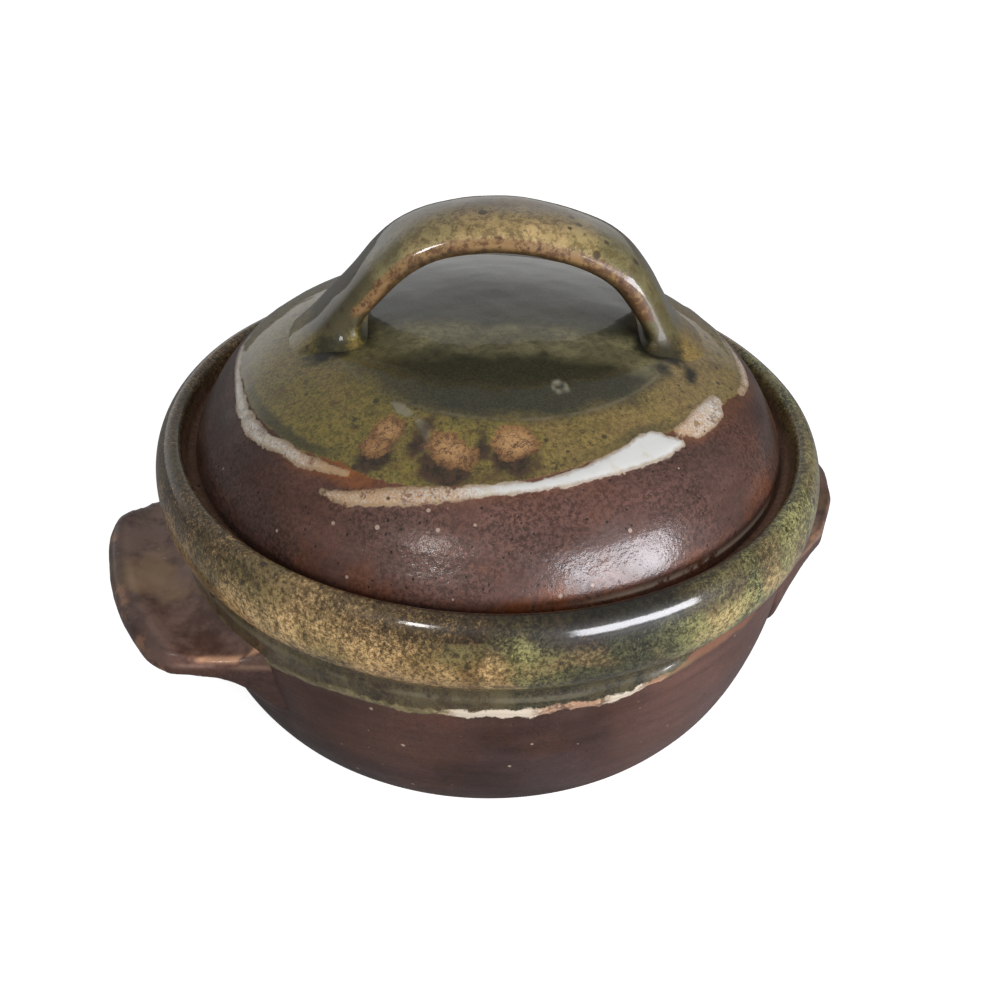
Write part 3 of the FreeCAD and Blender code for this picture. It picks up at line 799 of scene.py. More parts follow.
class BEANPOT_OT_lugs(bpy.types.Operator):
    """Model two slab lugs, trim each to its outline, soften them, and turn one to the other side"""
    bl_idname = "bean_pot.lugs"
    bl_label = "Lugs"

    def model(self, name, section, cuts, first, last):
        """One lug on the right: its section spun from first to last degree, trimmed and softened."""
        piece = start_line(name, section[0])
        draw_line(section)
        merge_all()
        swing(math.radians(first), "Z")
        bpy.ops.mesh.spin(steps=34, angle=math.radians(first - last), center=(0, 0, 0), axis=(0, 0, 1))
        for end in (math.radians(first), math.radians(last)):
            select_edges(piece, lambda co: abs(math.atan2(co.y, co.x) - end) < 1e-3)
            bpy.ops.mesh.edge_face_add()
        for (x, y), (away_x, away_y) in cuts:
            bpy.ops.mesh.select_all(action="SELECT")
            bpy.ops.mesh.bisect(plane_co=(x * MM, y * MM, 0), plane_no=(away_x, away_y, 0),
                                use_fill=True, clear_outer=True)
        set_down(piece)
        apply(piece, "REMESH", "Clay", mode="VOXEL", voxel_size=0.0008)
        apply(piece, "SMOOTH", "Sponged", factor=0.6, iterations=18)
        bpy.ops.object.shade_smooth()
        undulate(piece, "Pinched slab", 0.020, 0.0007, lambda p: np.ones(len(p)))
        return piece

    def execute(self, context):
        s = context.scene.bean_pot_lugs
        reach, top = s.reach / MM, LUG_HIGH.z / MM
        section = [Vector((radius * MM, 0, height * MM)) for radius, height in lug_section(s)]
        section.append(section[0])
        material = lug_finish(s, context.scene.bean_pot_bowl, context.scene.bean_pot_lid.rust)
        right = self.model("bean_pot_lug_right", section, RIGHT_LUG_CUTS, -44, 32)
        left = self.model("bean_pot_lug_left", section, LEFT_LUG_CUTS, -36, 32)
        bpy.ops.object.mode_set(mode="EDIT")
        bpy.ops.mesh.select_all(action="SELECT")
        swing(math.pi, "Z")
        leave_edit_mode()
        for lug, node, cuts, side in ((right, "lug_right", RIGHT_LUG_CUTS, 1),
                                      (left, "lug_left", LEFT_LUG_CUTS, -1)):
            p = places(lug)
            x, y, height, radius = side * p[:, 0], side * p[:, 1], p[:, 2], from_axis(p)
            inside = np.min([(edge_x - x) * away_x + (edge_y - y) * away_y
                             for (edge_x, edge_y), (away_x, away_y) in cuts], axis=0)
            rubbed = smoothstep(3.4, 1.0, inside) * smoothstep(top - 6, top - 3, height)
            angles = np.degrees(np.arctan2(y, x))
            off = np.abs((side * p[:, :2] - SCORCH) @ ACROSS_SCORCH)
            scorched = np.maximum(between(16.6, 21.8, 0.8, angles) * smoothstep(2.6, 1.0, inside),
                                  between(21.7, 26.8, 0.8, angles) * smoothstep(1.5, 0.7, off))
            mark(lug, lip=np.maximum(smoothstep(reach - 9, reach - 1.5, radius), rubbed),
                 scorched=scorched * smoothstep(top - 4.5, top - 2.6, height),
                 # The flat top, painted lighter as lit.
                 flat=smoothstep(reach - 29, reach - 18, radius) * smoothstep(top - 6.5, top - 4.5, height),
                 # Painted light round the pot, a little darker on the lugs.
                 slip_light=slip_light(around(p)) - 0.14)
            finish_piece(lug, "pot", node, material)
        return {"FINISHED"}


# ------------------------------------------------------------------ the lid
# Outer edge of the dipped glaze: degrees from +X, and radius on the dome in mm.
DIP_EDGE = [(-180, 72.4), (-170, 71.8), (-160, 71.6), (-150, 69.6), (-143, 70.5), (-133, 70.0),
            (-118, 68.2), (-105, 66.3), (-95, 64.6), (-87, 63.8), (-77, 62.2), (-70, 64.0),
            (-62, 66.5), (-52, 67.5), (-45, 69.5), (-38, 71.8), (-30, 74.2), (-17, 73.6), (0, 71.5),
            (20, 69.5), (45, 71.0), (70, 73.0), (95, 70.5), (120, 72.5), (140, 74.5), (155, 74.0),
            (169, 72.2)]
# Strokes of thick pale glaze: degrees, radius, half width in mm, and tone from tan (0) to white (1).
CREAM_STROKES = [
    [(118, 73.0, 0.7, 0.5), (135, 75.0, 0.9, 0.5), (148, 75.4, 1.0, 0.55), (160, 74.0, 1.2, 0.55),
     (169, 73.8, 1.5, 0.7), (176, 74.3, 2.0, 0.62), (-177, 74.9, 2.3, 0.58), (-171, 74.4, 2.3, 0.54),
     (-165, 73.3, 1.8, 0.55), (-158, 73.0, 2.0, 0.4), (-152, 72.0, 1.6, 0.1), (-147, 71.5, 1.2, 0.0)],
    [(-150, 76.9, 0.9, 0.35), (-144, 76.1, 1.9, 0.25), (-138, 74.0, 2.3, 0.2), (-132, 72.4, 2.5, 0.35),
     (-124, 70.6, 2.1, 0.35), (-117, 69.3, 1.7, 0.75), (-108, 68.5, 1.7, 0.9), (-100, 67.8, 1.9, 1.0),
     (-93, 66.9, 2.4, 1.0), (-86, 66.1, 3.1, 1.0), (-80, 65.7, 3.9, 1.0), (-74.5, 66.0, 3.9, 1.0),
     (-70.5, 67.2, 2.4, 1.0), (-68.0, 68.2, 1.1, 0.9)],
    [(-83, 64.0, 0.6, 1.0), (-78.5, 63.2, 1.7, 1.0), (-74, 63.4, 1.9, 1.0), (-71.5, 64.0, 0.8, 1.0)],
    [(-66, 65.6, 1.6, 0.25), (-62, 67.0, 3.2, 0.35), (-56, 67.2, 3.9, 0.45), (-51, 67.5, 3.3, 0.55),
     (-47.5, 67.2, 1.9, 0.5)],
    [(-38, 72.4, 0.8, 0.3), (-30, 74.3, 1.8, 0.35), (-22, 74.0, 2.0, 0.4), (-13, 73.0, 1.3, 0.4),
     (4, 71.8, 0.7, 0.4)]]
# Three fingertips: degrees, radius, half length and half width in mm, tilt in degrees.
FINGERS = [(-143.6, 57.6, 4.6, 4.6, 10), (-144.0, 63.0, 3.0, 4.8, 60), (-126.0, 59.2, 7.4, 4.9, 28),
           (-109.8, 56.2, 6.4, 5.6, 4)]
# The dark halo that the fingers left round them.
HALOS = [(-143.2, 65.5, 5.2, 5.0, 0), (-126.5, 64.8, 7.6, 5.4, 15), (-110.3, 61.6, 6.4, 5.0, 0),
         (-134.5, 58.5, 2.6, 6.0, 0), (-118.0, 59.5, 1.8, 5.0, 0)]
# Thin pale runs, as strokes, and a burst bubble: degrees and radius.
PALE_RUNS = [[(-147.5, 49.2, 0.8, 0.5), (-144, 50.6, 1.6, 0.6), (-140.5, 51.6, 0.8, 0.5)],
             [(-138.5, 52.0, 0.6, 0.4), (-135, 54.0, 1.4, 0.5), (-133, 56.8, 1.0, 0.4),
              (-132.5, 60.5, 0.6, 0.3)]]
CRATER = (-88.7, 39.3)
# The pool in the crown's dish: its centre and radius in mm, and the direction that its colours run in,
# which is the camera's heading: along it the pool is painted darker at the front and greyer at the back, as
# painted reflection.
POOL_CENTRE, POOL_RADIUS, POOL_WAY = np.array((2.0, -1.0)), 49.5, np.array((0.457, 0.890))
# What else changes round the lid, in degrees from +X: how dark the glaze gathers along its edge, rust
# under that edge and low on the dome, and how far the lowest edge is chipped.
ROUND_THE_LID = {
    "gathered": [(-180, 0.7), (-176, 1.0), (-157, 1.0), (-150, 0.2), (-100, 0.25), (-74, 0.8),
                 (-66, 0.5), (-50, 0.1), (60, 0.5), (120, 0.2), (160, 0.3)],
    "rust_edge": [(-180, 0.05), (-165, 0.15), (-156, 0.85), (-146, 1.0), (-138, 0.35), (-110, 0.2),
                  (-70, 0.2), (-64, 0.5), (-55, 0.25), (-35, 0.25), (0, 0.2), (60, 0.6), (120, 0.1)],
    "rust_low": [(-180, 0.2), (-150, 0.25), (-130, 0.65), (-104, 1.1), (-88, 0.45), (-70, 0.30),
                 (-56, 0.55), (-35, 0.60), (0, 0.3), (70, 0.6), (120, 0.3)],
    "chipped": [(-105, 0), (-100, 0.2), (-92, 0.9), (-66, 1.0), (-55, 0.8), (-48, 0)]}


def lid_profile(s):
    """The lid in section, from the middle of its crown, round its seat, to the middle inside."""
    rim, seat, crown, wall = s.radius / MM, s.seat_height / MM, s.crown_height / MM, s.wall / MM
    shoulder = (rim - 6.5, seat + 16.1)
    outside = bezier((4, crown - 0.2), (49, crown + 0.1), (rim - 13.6, seat + 28.7), shoulder, 15)
    line = [(4, crown - 0.2)] + outside[:-1]
    line.append((shoulder[0] + 0.3, shoulder[1] - 0.3))
    line += bezier(shoulder, (shoulder[0] + 2.6, shoulder[1] - 4.2), (rim - 0.9, seat + 7.2),
                   (rim + 0.1, seat + 2.6), 5)
    inner = rim - 6.8
    line += [(rim + 0.1, seat + 1.3), (rim - 0.5, seat + 0.4), (rim - 1.6, seat + 0.05),
             (rim - 3.5, seat), (inner + 1.2, seat), (inner + 0.2, seat + 0.3), (inner - 0.2, seat + 1.4)]
    within = (shoulder[0] - wall * 0.86, shoulder[1] - wall * 0.56)
    line += bezier(line[-1], (inner - 0.7, seat + 6.0), (within[0] + 2.4, within[1] - 3.6), within, 4)
    line += bezier(within, (within[0] - 7.7, within[1] + 12.2), (47, crown - wall), (4, crown - wall), 10)
    return line


def lid_finish(s, bowl):
    material, r, surface = new_finish("Bean pot lid glazes")
    x, _, z = r.axes(r.place)
    height = z * 1000.0
    cloud, fleck, grain = mottle(r, 62.0)
    grainy = r.noise(420.0, 3.0, 0.75)
    rust_low = (cloud * 5.0 + height).span(97.0, 87.0) * r.read("rust_low")
    base, slip_rough, slip_height = slip(r, bowl.dark_clay, bowl.clay, s.rust, rust_low + 0.12,
                                         r.read("slip_light"), 0.8)

    # Painted reflection: along the camera's heading the pool is painted darker at the front, with a paler
    # olive band, and greyer towards the back, over its own dark glaze.
    moved = r.read("pool_front") + (r.noise(34.0, 4.0, 0.65) * 26.0 - 13.0)
    glass = moved.span(-6.0, 8.0).mix((0.060, 0.062, 0.026), (0.036, 0.036, 0.026))
    glass = glass.lay(moved.span(-14.0, -24.0) * 0.95, s.pool)
    glass = glass.lay(moved.span(-26.0, -17.0) * moved.span(-3.0, -12.0) * 0.95, (0.38, 0.34, 0.17))
    smoke = r.noise(55.0, 4.0, 0.65, on=r.stretch((0.7, 1.0, 1.0))).span(0.40, 0.62)
    glass = glass.lay(smoke * 0.55, (0.016, 0.019, 0.012)).lay(grain * 0.30, (0.13, 0.12, 0.050))
    glass = glass.lay(grainy.span(0.45, 0.62) * 0.4, (0.018, 0.020, 0.009))
    deep = edge(r, r.read("pool"), 3.0, 4.5, 80.0) * (x.span(-0.052, -0.028) * 0.45 + 0.50)
    ash = dome_ash(r, s.olive, s.tan).lay(deep, glass)
    lip = abs(r.read("pool_lip")).span(0.2, 0.9, 1.0, 0.0) * r.noise(60.0, 3.0, 0.6).span(0.40, 0.60)
    ash = ash.lay(lip * 0.40, (0.24, 0.21, 0.13))
    feet = edge(r, r.read("foot_pool"), 2.0, 1.8, 130.0)
    ash = ash.lay(feet * 0.95, (0.010, 0.010, 0.006))
    ash = ash.lay(edge(r, r.read("pale_runs"), 0.6, 0.5, 420.0) * 0.6, (0.30, 0.28, 0.20))
    dip = r.read("dip")
    gathered = edge(r, 1.7 - abs(dip - 1.9), 0.7, 0.8, 240.0) * r.read("gathered")
    ash = ash.lay(gathered * 0.72, (0.035, 0.036, 0.016))

    halo = edge(r, r.read("halo"), 2.0, 1.8, 210.0)
    ash = ash.lay(halo * 0.92, grainy.span(0.42, 0.60).mix((0.013, 0.007, 0.005), (0.058, 0.026, 0.016)))
    touch = r.read("finger")
    finger = edge(r, touch, 1.5, 0.6, 240.0)
    wrinkles = net(r, 300.0, 0.045)
    crumbs = r.noise(760.0, 4.0, 0.85).span(0.52, 0.60)
    skin = touch.span(0.2, 3.6).mix((0.30, 0.155, 0.06), s.finger)
    skin = skin.lay(wrinkles * 0.80, (0.10, 0.048, 0.030)).lay(crumbs * 0.55, (0.14, 0.07, 0.04))
    heart = r.read("finger_heart").span(0.0, 1.6) * crumbs.most(wrinkles)
    ash = ash.lay(finger * 0.95, skin.lay(heart * 0.95, (0.075, 0.035, 0.035)))
    ash = ash.lay(r.read("crater") * 0.75, (0.36, 0.34, 0.25))
    dipped = edge(r, dip, 0.7, 0.35, 300.0)
    stained = (dip.span(-8.0, -3.0) * r.read("rust_edge")).clamped() * grainy.span(0.35, 0.60, 0.45, 1.0)
    base = base.lay(stained, (0.27, 0.095, 0.030)).lay(dipped, ash)

    depth, tone = r.read("cream"), r.read("cream_tone")
    rubbed = r.noise(210.0, 4.0, 0.8).span(0.50, 0.60) * tone.span(0.85, 0.35)
    cream = edge(r, depth, 0.85, 0.26, 190.0) * (1.0 - rubbed * 0.75)
    pale = (tone + (grain * 0.4 - 0.2)).span(0.1, 0.85).mix((0.50, 0.31, 0.165), s.cream)
    pale = pale.lay((depth + (grainy * 1.6 - 0.8)).span(0.1, 1.3, 0.70, 0.0), (0.30, 0.19, 0.09))
    pale = pale.lay(r.noise(120.0, 3.0, 0.7).span(0.50, 0.68) * 0.35, (0.55, 0.47, 0.30))
    pale = pale.lay(specks(r, 260.0, 0.24, 0.09) * 0.9, (0.05, 0.035, 0.025))
    chip = r.read("chipped") * r.noise(150.0, 3.0, 0.7).span(0.36, 0.46)
    bare, lined = edge(r, r.read("bare"), 0.4, 0.4, 320.0), edge(r, r.read("liner"), 0.5, 0.4, 300.0)
    lining = cloud.mix((0.085, 0.050, 0.026), (0.150, 0.108, 0.046)).lay(fleck * 0.7, (0.03, 0.018, 0.012))
    base = base.lay(cream, pale).lay(chip, (0.66, 0.52, 0.42))
    base = base.lay(bare, burned_clay(r, bowl.bare_clay, (0.115, 0.062, 0.042))).lay(lined, lining)
    r.feed(surface["Base Color"], base)

    glossy = (dipped.most(cream).most(lined) - finger * 0.6).clamped()
    r.feed(surface["Roughness"], slip_rough.lay(bare, BARE_ROUGHNESS).lay(glossy, GLAZE_ROUGHNESS))
    low_coat = height.span(100.0, 90.0, 0.10, 0.58) * rust_low.span(0.0, 0.9, 1.0, 0.20)
    coat = glossy.most((1.0 - bare) * (low_coat * x.span(-0.075, -0.050, 0.35, 1.0)))
    r.feed(surface["Coat Weight"], (coat - feet * 0.65).clamped())
    swell = r.noise(42.0, 2.0, 0.5) * 2.2 + r.noise(170.0, 2.0, 0.5) * 0.35
    pitted = swell + specks(r, 300.0, 0.20, 0.05) * -0.6 + finger * crumbs * -0.5
    coarse = r.noise(620.0, 3.0, 0.65) * dip.span(0.6, -0.6, 0.03, 0.55)
    bump(r, surface, slip_height.lay(glossy, pitted), swell + coarse)
    return material


class BEANPOT_OT_lid(bpy.types.Operator):
    """Throw the domed lid, and lay its dipped glaze, pale strokes, pool and finger marks"""
    bl_idname = "bean_pot.lid"
    bl_label = "Lid"

    def execute(self, context):
        s = context.scene.bean_pot_lid
        profile = lid_profile(s)
        piece = throw("bean_pot_lid_dome", profile, steps=104)
        rim, seat = s.radius / MM, s.seat_height / MM
        undulate(piece, "Thrown dome", 0.040, 0.0006, lambda p: smoothstep(86, 94, p[:, 2]))
        p = places(piece)
        height, radius, angles = p[:, 2], from_axis(p), around(p)
        dome = tuple(zip(*profile[:22]))
        outside = height > np.interp(radius, *dome) - 3.0

        def out(depths):
            return np.where(outside, depths, FAR)

        slope = np.interp(radius, [0, 30, 50, 60, 70, 80], [1.0, 1.01, 1.05, 1.14, 1.3, 1.6])
        dip = out((by_angle(angles, DIP_EDGE) - radius) * slope)
        cream, tone = strokes(p, CREAM_STROKES, dome)
        cream = out(cream)
        finger = out(touches(p, FINGERS, dome))
        heart = [(*FINGERS[-1][:2], 2.6, 1.8, FINGERS[-1][4])]
        from_pool = from_axis(p[:, :2] - POOL_CENTRE)
        # Painted light on the lid's slip: paler on the front that faces the lamps.
        facing = np.clip(np.cos(np.radians(angles + 103)), 0, 1)
        low = (height < seat + 3.0) & (radius < rim - 1.0)
        within = ~outside & (height > seat + 0.8) & (radius < rim - 6.4)
        pit = np.linalg.norm(p - on_dome(*CRATER, dome), axis=1)
        round_the_lid = {name: by_angle(angles, table) for name, table in ROUND_THE_LID.items()}
        chips = np.exp(-((height - seat - 4.2) / 0.5) ** 2) * (radius > rim - 2)
        round_the_lid["chipped"] *= chips
        mark(piece, **round_the_lid, dip=dip, cream=cream, cream_tone=tone, finger=finger,
             pale_runs=out(strokes(p, PALE_RUNS, dome)[0]), finger_heart=out(touches(p, heart, dome)),
             halo=out(touches(p, HALOS, dome)), pool=out(POOL_RADIUS - from_pool),
             pool_front=p[:, :2] @ POOL_WAY, pool_lip=out(POOL_RADIUS - 0.5 - from_pool),
             slip_light=0.22 + 0.72 * facing ** 3,
             foot_pool=out(foot_pools(p, context.scene.bean_pot_handle.turn)),
             bare=np.where(low, seat + 1.4 - height, FAR),
             liner=np.where(within, np.minimum(height - seat - 2.2, BAND), FAR),
             crater=np.exp(-((pit - 1.9) / 0.5) ** 2))

        wander = 0.35 * np.sin(np.radians(angles) * 17)
        relief = smoothstep(-0.6, 1.1, cream + wander) * 0.38
        relief += smoothstep(-0.5, 1.2, dip) * 0.18 - 0.28 * smoothstep(-1.0, 1.5, finger)
        relief += np.where(outside, 0.30 * np.exp(-((from_pool - POOL_RADIUS - 1.0) / 2.2) ** 2)
                           - 0.25 * smoothstep(48, 38, from_pool), 0)
        relief += 0.3 * np.exp(-((pit - 1.8) / 0.8) ** 2) - 0.3 * np.exp(-(pit / 1.0) ** 2)
        raise_surface(piece, "Glaze relief", relief)
        finish_piece(piece, "lid", "lid_dome",
                     lid_finish(s, context.scene.bean_pot_bowl))
        return {"FINISHED"}


# ------------------------------------------------------------------ the strap handle
# Pools of glaze round the strap's feet: place along and across the strap, half sizes, in mm.
FOOT_POOLS = [(-47.0, -14.8, 7.0, 4.4), (-36.5, -9.0, 3.0, 7.0), (42.5, -8.0, 3.4, 9.0),
              (49.0, -14.5, 7.0, 4.2), (46.5, -21.5, 2.2, 6.0), (54.5, -19.5, 2.0, 4.6)]


def along_and_across(p, turn):
    """How far along and across the strap each place lies, in mm."""
    return (p[:, 0] * math.cos(turn) + p[:, 1] * math.sin(turn),
            p[:, 1] * math.cos(turn) - p[:, 0] * math.sin(turn))


def foot_pools(p, turn):
    """How far inside the pools of glaze at the strap's feet each place lies, in mm."""
    u, v = along_and_across(p, turn)
    inside = np.full(len(p), FAR)
    for along, across, half_along, half_across in FOOT_POOLS:
        share = np.hypot((u - along) / half_along, (v - across) / half_across)
        inside = np.maximum(inside, (1 - share) * min(half_along, half_across))
    return inside


STRAP_OFFSET = 2.5  # how far the strap stands off the pot's axis, in mm
# The strap's arch: along, height above the crown, and the direction it runs in, in degrees.
STRAP_ARCH = [(-35.5, 11.5, 51), (-28.9, 19.4, 45), (-19.0, 25.7, 22), (-5.0, 28.3, 4),
              (5.5, 28.1, -5), (15.0, 26.5, -14), (23.8, 24.0, -19), (31.9, 20.3, -32),
              (37.9, 15.3, -47), (42.1, 9.4, -60)]
# Its feet, ring by ring away from the arch: the underside's and the top's (along, height above
# the crown), and the width in shares of the strap's.
LEFT_FOOT = [((-36.7, 3.5), (-43.9, 7.4), 1.03), ((-38.2, 0.8), (-48.2, 2.6), 1.07),
             ((-38.4, -1.2), (-52.2, -2.0), 1.15), ((-37.4, -2.7), (-57.0, -6.7), 1.32),
             ((-33.5, -4.6), (-66.0, -14.2), 1.75)]
RIGHT_FOOT = [((41.9, 1.5), (49.2, 4.9), 1.03), ((43.3, -1.0), (51.8, 0.2), 1.07),
              ((43.6, -2.7), (55.0, -3.9), 1.15), ((42.7, -4.0), (60.5, -8.2), 1.34),
              ((39.0, -6.0), (69.5, -16.6), 1.78)]
# The strap in section, across and through, in shares of its half width and half thickness.
STRAP_SECTION = [(0.0, 1.03), (0.34, 0.99), (0.62, 0.86), (0.84, 0.58), (0.97, 0.14), (1.02, -0.38),
                 (1.01, -0.82), (0.88, -1.12), (0.45, -1.10), (0.0, -1.04), (-0.45, -1.10),
                 (-0.88, -1.12), (-1.01, -0.82), (-1.02, -0.38), (-0.97, 0.14), (-0.84, 0.58),
                 (-0.62, 0.86), (-0.34, 0.99)]


def strap_rings(crown, half_thick, lift):
    """Every ring of the strap from the left foot to the right, the arch made higher by lift in mm at
    its top: its centre, lean, width and thickness."""
    def from_edges(under, over, wide):
        run = (over[0] - under[0], over[1] - under[1])
        centre = Vector(((over[0] + under[0]) / 2 * MM, 0, (crown + (over[1] + under[1]) / 2) * MM))
        return centre, math.atan2(-run[0], run[1]), wide, math.hypot(*run) / 2 * MM / half_thick

    rise = 1 + lift / max(z for _, z, _ in STRAP_ARCH)
    arch = [(Vector((x * MM, 0, (crown + z * rise - 0.45) * MM)), math.radians(lean), 1.0, 1.10)
            for x, z, lean in STRAP_ARCH]
    return ([from_edges(*ring) for ring in reversed(LEFT_FOOT)] + arch
            + [from_edges(*ring) for ring in RIGHT_FOOT])


def dome_height(radius):
    """Height of the dome's outside below its crown at a radius, in mm."""
    return np.interp(radius, [0, 10, 20, 27, 38, 48, 56.5, 63.7, 69.7, 74.6],
                     [0, -0.2, -0.8, -1.4, -3.0, -5.2, -7.8, -10.7, -14.0, -17.4])


def handle_finish(s, lid):
    material, r, surface = new_finish("Bean pot strap glaze")
    cloud, fleck, grain = mottle(r, 75.0)
    grainy = r.noise(420.0, 3.0, 0.75)
    along, lip = r.read("along"), r.read("edge")
    ash = cloud.mix((0.27, 0.190, 0.068), (0.56, 0.39, 0.165)).lay(grain * 0.40, (0.60, 0.45, 0.23))
    # Painted shade: the back half of the strap's top, turned from the lamps, is darkened.
    ash = ash.lay(r.read("back") * 0.90, ash.times((0.34, 0.33, 0.35)))
    # Painted shade: the legs are darkened.
    legs = (along.span(0.44, 0.26) + along.span(0.58, 0.74)).clamped()
    ash = ash.lay(legs, ash.times((0.60, 0.72, 0.70)))
    # Olive glaze gathered low on the legs, deepened further as painted shade.
    green = (along.span(0.34, 0.14) + along.span(0.64, 0.84, 0.0, 0.75)).clamped()
    ash = ash.lay(green * 0.92, (0.055, 0.048, 0.018))
    ash = ash.lay(grainy.span(0.46, 0.60) * 0.55, (0.100, 0.066, 0.024))
    ash = ash.lay(fleck * 0.65, (0.060, 0.036, 0.014))
    rusty = (grainy + along.span(0.66, 0.80, 0.0, 0.10)).span(0.44, 0.60).mix((0.27, 0.15, 0.055), s.rust)
    ash = ash.lay((lip + (grainy - 0.5)).span(0.35, 0.75) * 0.85, rusty)
    ash = ash.lay(specks(r, 420.0, 0.42, 0.45) * lip * 0.8, (0.060, 0.026, 0.012))
    ash = ash.lay(specks(r, 210.0, 0.36, 0.40) * 0.85, (0.050, 0.028, 0.014))
    # Painted shade on the strap's underside.
    ash = ash.lay(r.read("beneath") * 0.8, (0.035, 0.022, 0.010))
    ash = ash.lay(edge(r, r.read("foot"), 1.6, 1.8, 110.0), dome_ash(r, lid.olive, lid.tan))
    feet = edge(r, r.read("foot_pool"), 2.0, 1.8, 130.0)
    r.feed(surface["Base Color"], ash.lay(feet * 0.90, (0.016, 0.017, 0.008)))
    surface["Roughness"].default_value = GLAZE_ROUGHNESS[0]
    r.feed(surface["Coat Weight"], 1.0 - r.read("dull").most(feet * 0.65))
    peel = r.noise(170.0, 2.0, 0.5) * 0.4
    bump(r, surface, peel + specks(r, 300.0, 0.20, 0.05) * -0.6, peel)
    return material


class BEANPOT_OT_handle(bpy.types.Operator):
    """Pull the strap handle along its arch and spread its feet on the dome"""
    bl_idname = "bean_pot.handle"
    bl_label = "Strap handle"

    def model(self, s, rings):
        """The strap pulled ring by ring, turned to its place over the lid."""
        centre, lean, wide, thick = rings[0]
        outward = Vector((-math.sin(lean), 0, math.cos(lean))) * (s.thickness / 2 * thick)
        across = Vector((0, s.width / 2 * wide, 0))
        ring = [centre + across * u + outward * v for u, v in STRAP_SECTION]
        piece = start_line("bean_pot_lid_handle", ring[0])
        draw_line(ring + ring[:1])
        merge_all()
        bpy.ops.mesh.edge_face_add()
        bpy.ops.mesh.select_mode(type="FACE")
        bpy.ops.mesh.select_all(action="SELECT")
        for before, here in zip(rings, rings[1:]):
            bpy.ops.mesh.extrude_region_move(TRANSFORM_OT_translate={"value": here[0] - before[0]})
            bpy.ops.transform.resize(value=(1, here[2] / before[2], here[3] / before[3]),
                                     orient_matrix=Matrix.Rotation(-before[1], 3, "Y"),
                                     orient_type="GLOBAL", orient_matrix_type="GLOBAL",
                                     center_override=here[0])
            swing(before[1] - here[1], "Y", here[0])
        merge_all()
        bpy.ops.transform.translate(value=(0, STRAP_OFFSET * MM, 0))
        swing(s.turn, "Z")
        set_down(piece)
        smooth_clay(piece)
        return piece

    def execute(self, context):
        s = context.scene.bean_pot_handle
        crown = context.scene.bean_pot_lid.crown_height / MM
        rings = strap_rings(crown, s.thickness / 2, (s.top_height - HANDLE_HIGH.z) / MM)
        piece = self.model(s, rings)

        def measure():
            """Each place along and across the strap, above the crown and above the dome, in mm."""
            p = places(piece)
            u, v = along_and_across(p, s.turn)
            height = p[:, 2] - crown
            return p, u, v, height, height - dome_height(np.hypot(u, v))

        p, u, v, height, above = measure()
        sag = dome_height(np.hypot(u, v)) - dome_height(np.abs(u))
        raise_surface(piece, "Foot laid on the dome", sag * smoothstep(9.0, 1.0, above), "Z")
        p, u, v, height, above = measure()
        undulate(piece, "Pulled strap", 0.016, 0.0007, lambda p: smoothstep(3, 10, above))
        p, u, v, height, above = measure()
        v -= STRAP_OFFSET
        side = np.abs(v) / (s.width / 2 / MM)
        rings_u, rings_z, leans = np.array([(place.x / MM, place.z / MM - crown, lean)
                                            for place, lean, _, _ in rings]).T
        steps = np.concatenate(([0], np.cumsum(np.hypot(np.diff(rings_u), np.diff(rings_z)))))
        nearest = np.argmin((u[:, None] - rings_u) ** 2 + (height[:, None] - rings_z) ** 2, axis=1)
        along, lean = (steps / steps[-1])[nearest], leans[nearest]
        through = (height - rings_z[nearest]) * np.cos(lean) - (u - rings_u[nearest]) * np.sin(lean)
        # The strap's underside: painted shade there, and its coat dulled.
        beneath = smoothstep(-2.0, -3.6, through)
        dull = np.interp(along, [0.60, 0.66, 0.74, 0.765, 0.80, 0.815, 1.0],
                         [0, 0.85, 0.85, 0.25, 0.25, 0.85, 0.85]) * smoothstep(0.50, 0.80, side)
        mark(piece, along=along, beneath=beneath, dull=np.maximum(dull, beneath * 0.95),
             edge=smoothstep(0.84, 0.97, side) * smoothstep(1.6, -1.2, through) * smoothstep(4, 12, above),
             # The back half of the top, for painted shade.
             back=smoothstep(-8.0, 4.0, v) * smoothstep(0.0, 2.0, through),
             foot=4.0 - above, foot_pool=np.minimum(foot_pools(p, s.turn), 4.5 - above))
        finish_piece(piece, "lid", "lid_handle",
                     handle_finish(s, context.scene.bean_pot_lid))
        return {"FINISHED"}


# ------------------------------------------------------------------ the studio
CAMERA_PLACE = (-0.14925, -0.29936, 0.29522)
CAMERA_PITCH = math.radians(-35.73)
CAMERA_HEADING = math.radians(62.83)
CAMERA_ROLL = math.radians(2.27)
CAMERA_LENS = 46.8


def look_along(pitch, heading, roll):
    """The turn of a camera that looks along a heading from +X, tipped down and rolled."""
    level = Euler((math.pi / 2 + pitch, 0, heading - math.pi / 2)).to_matrix()
    return level @ Matrix.Rotation(roll, 3, "Z")


def soft_lamp(name, heading, height, distance, size, power, tint):
    """A rectangular lamp aimed at the middle of the pot from a heading and height in degrees."""
    data = bpy.data.lights.new(name, "AREA")
    data.shape = "RECTANGLE"
    data.size, data.size_y = size
    data.energy = power
    data.color = tint
    lamp = bpy.data.objects.new(name, data)
    bpy.context.collection.objects.link(lamp)
    a, e = math.radians(heading), math.radians(height)
    away = distance * Vector((math.cos(e) * math.cos(a), math.cos(e) * math.sin(a), math.sin(e)))
    lamp.location = Vector((0, 0, 0.08)) + away
    lamp.rotation_euler = (-away).to_track_quat("-Z", "Y").to_euler()


def looked_at(r):
    """The kinds of ray, and 1 for what is seen directly, 0 for light and mirrored images."""
    rays = r.add("ShaderNodeLightPath").outputs
    return rays, r.math("MAXIMUM", rays["Is Camera Ray"], rays["Is Transmission Ray"])


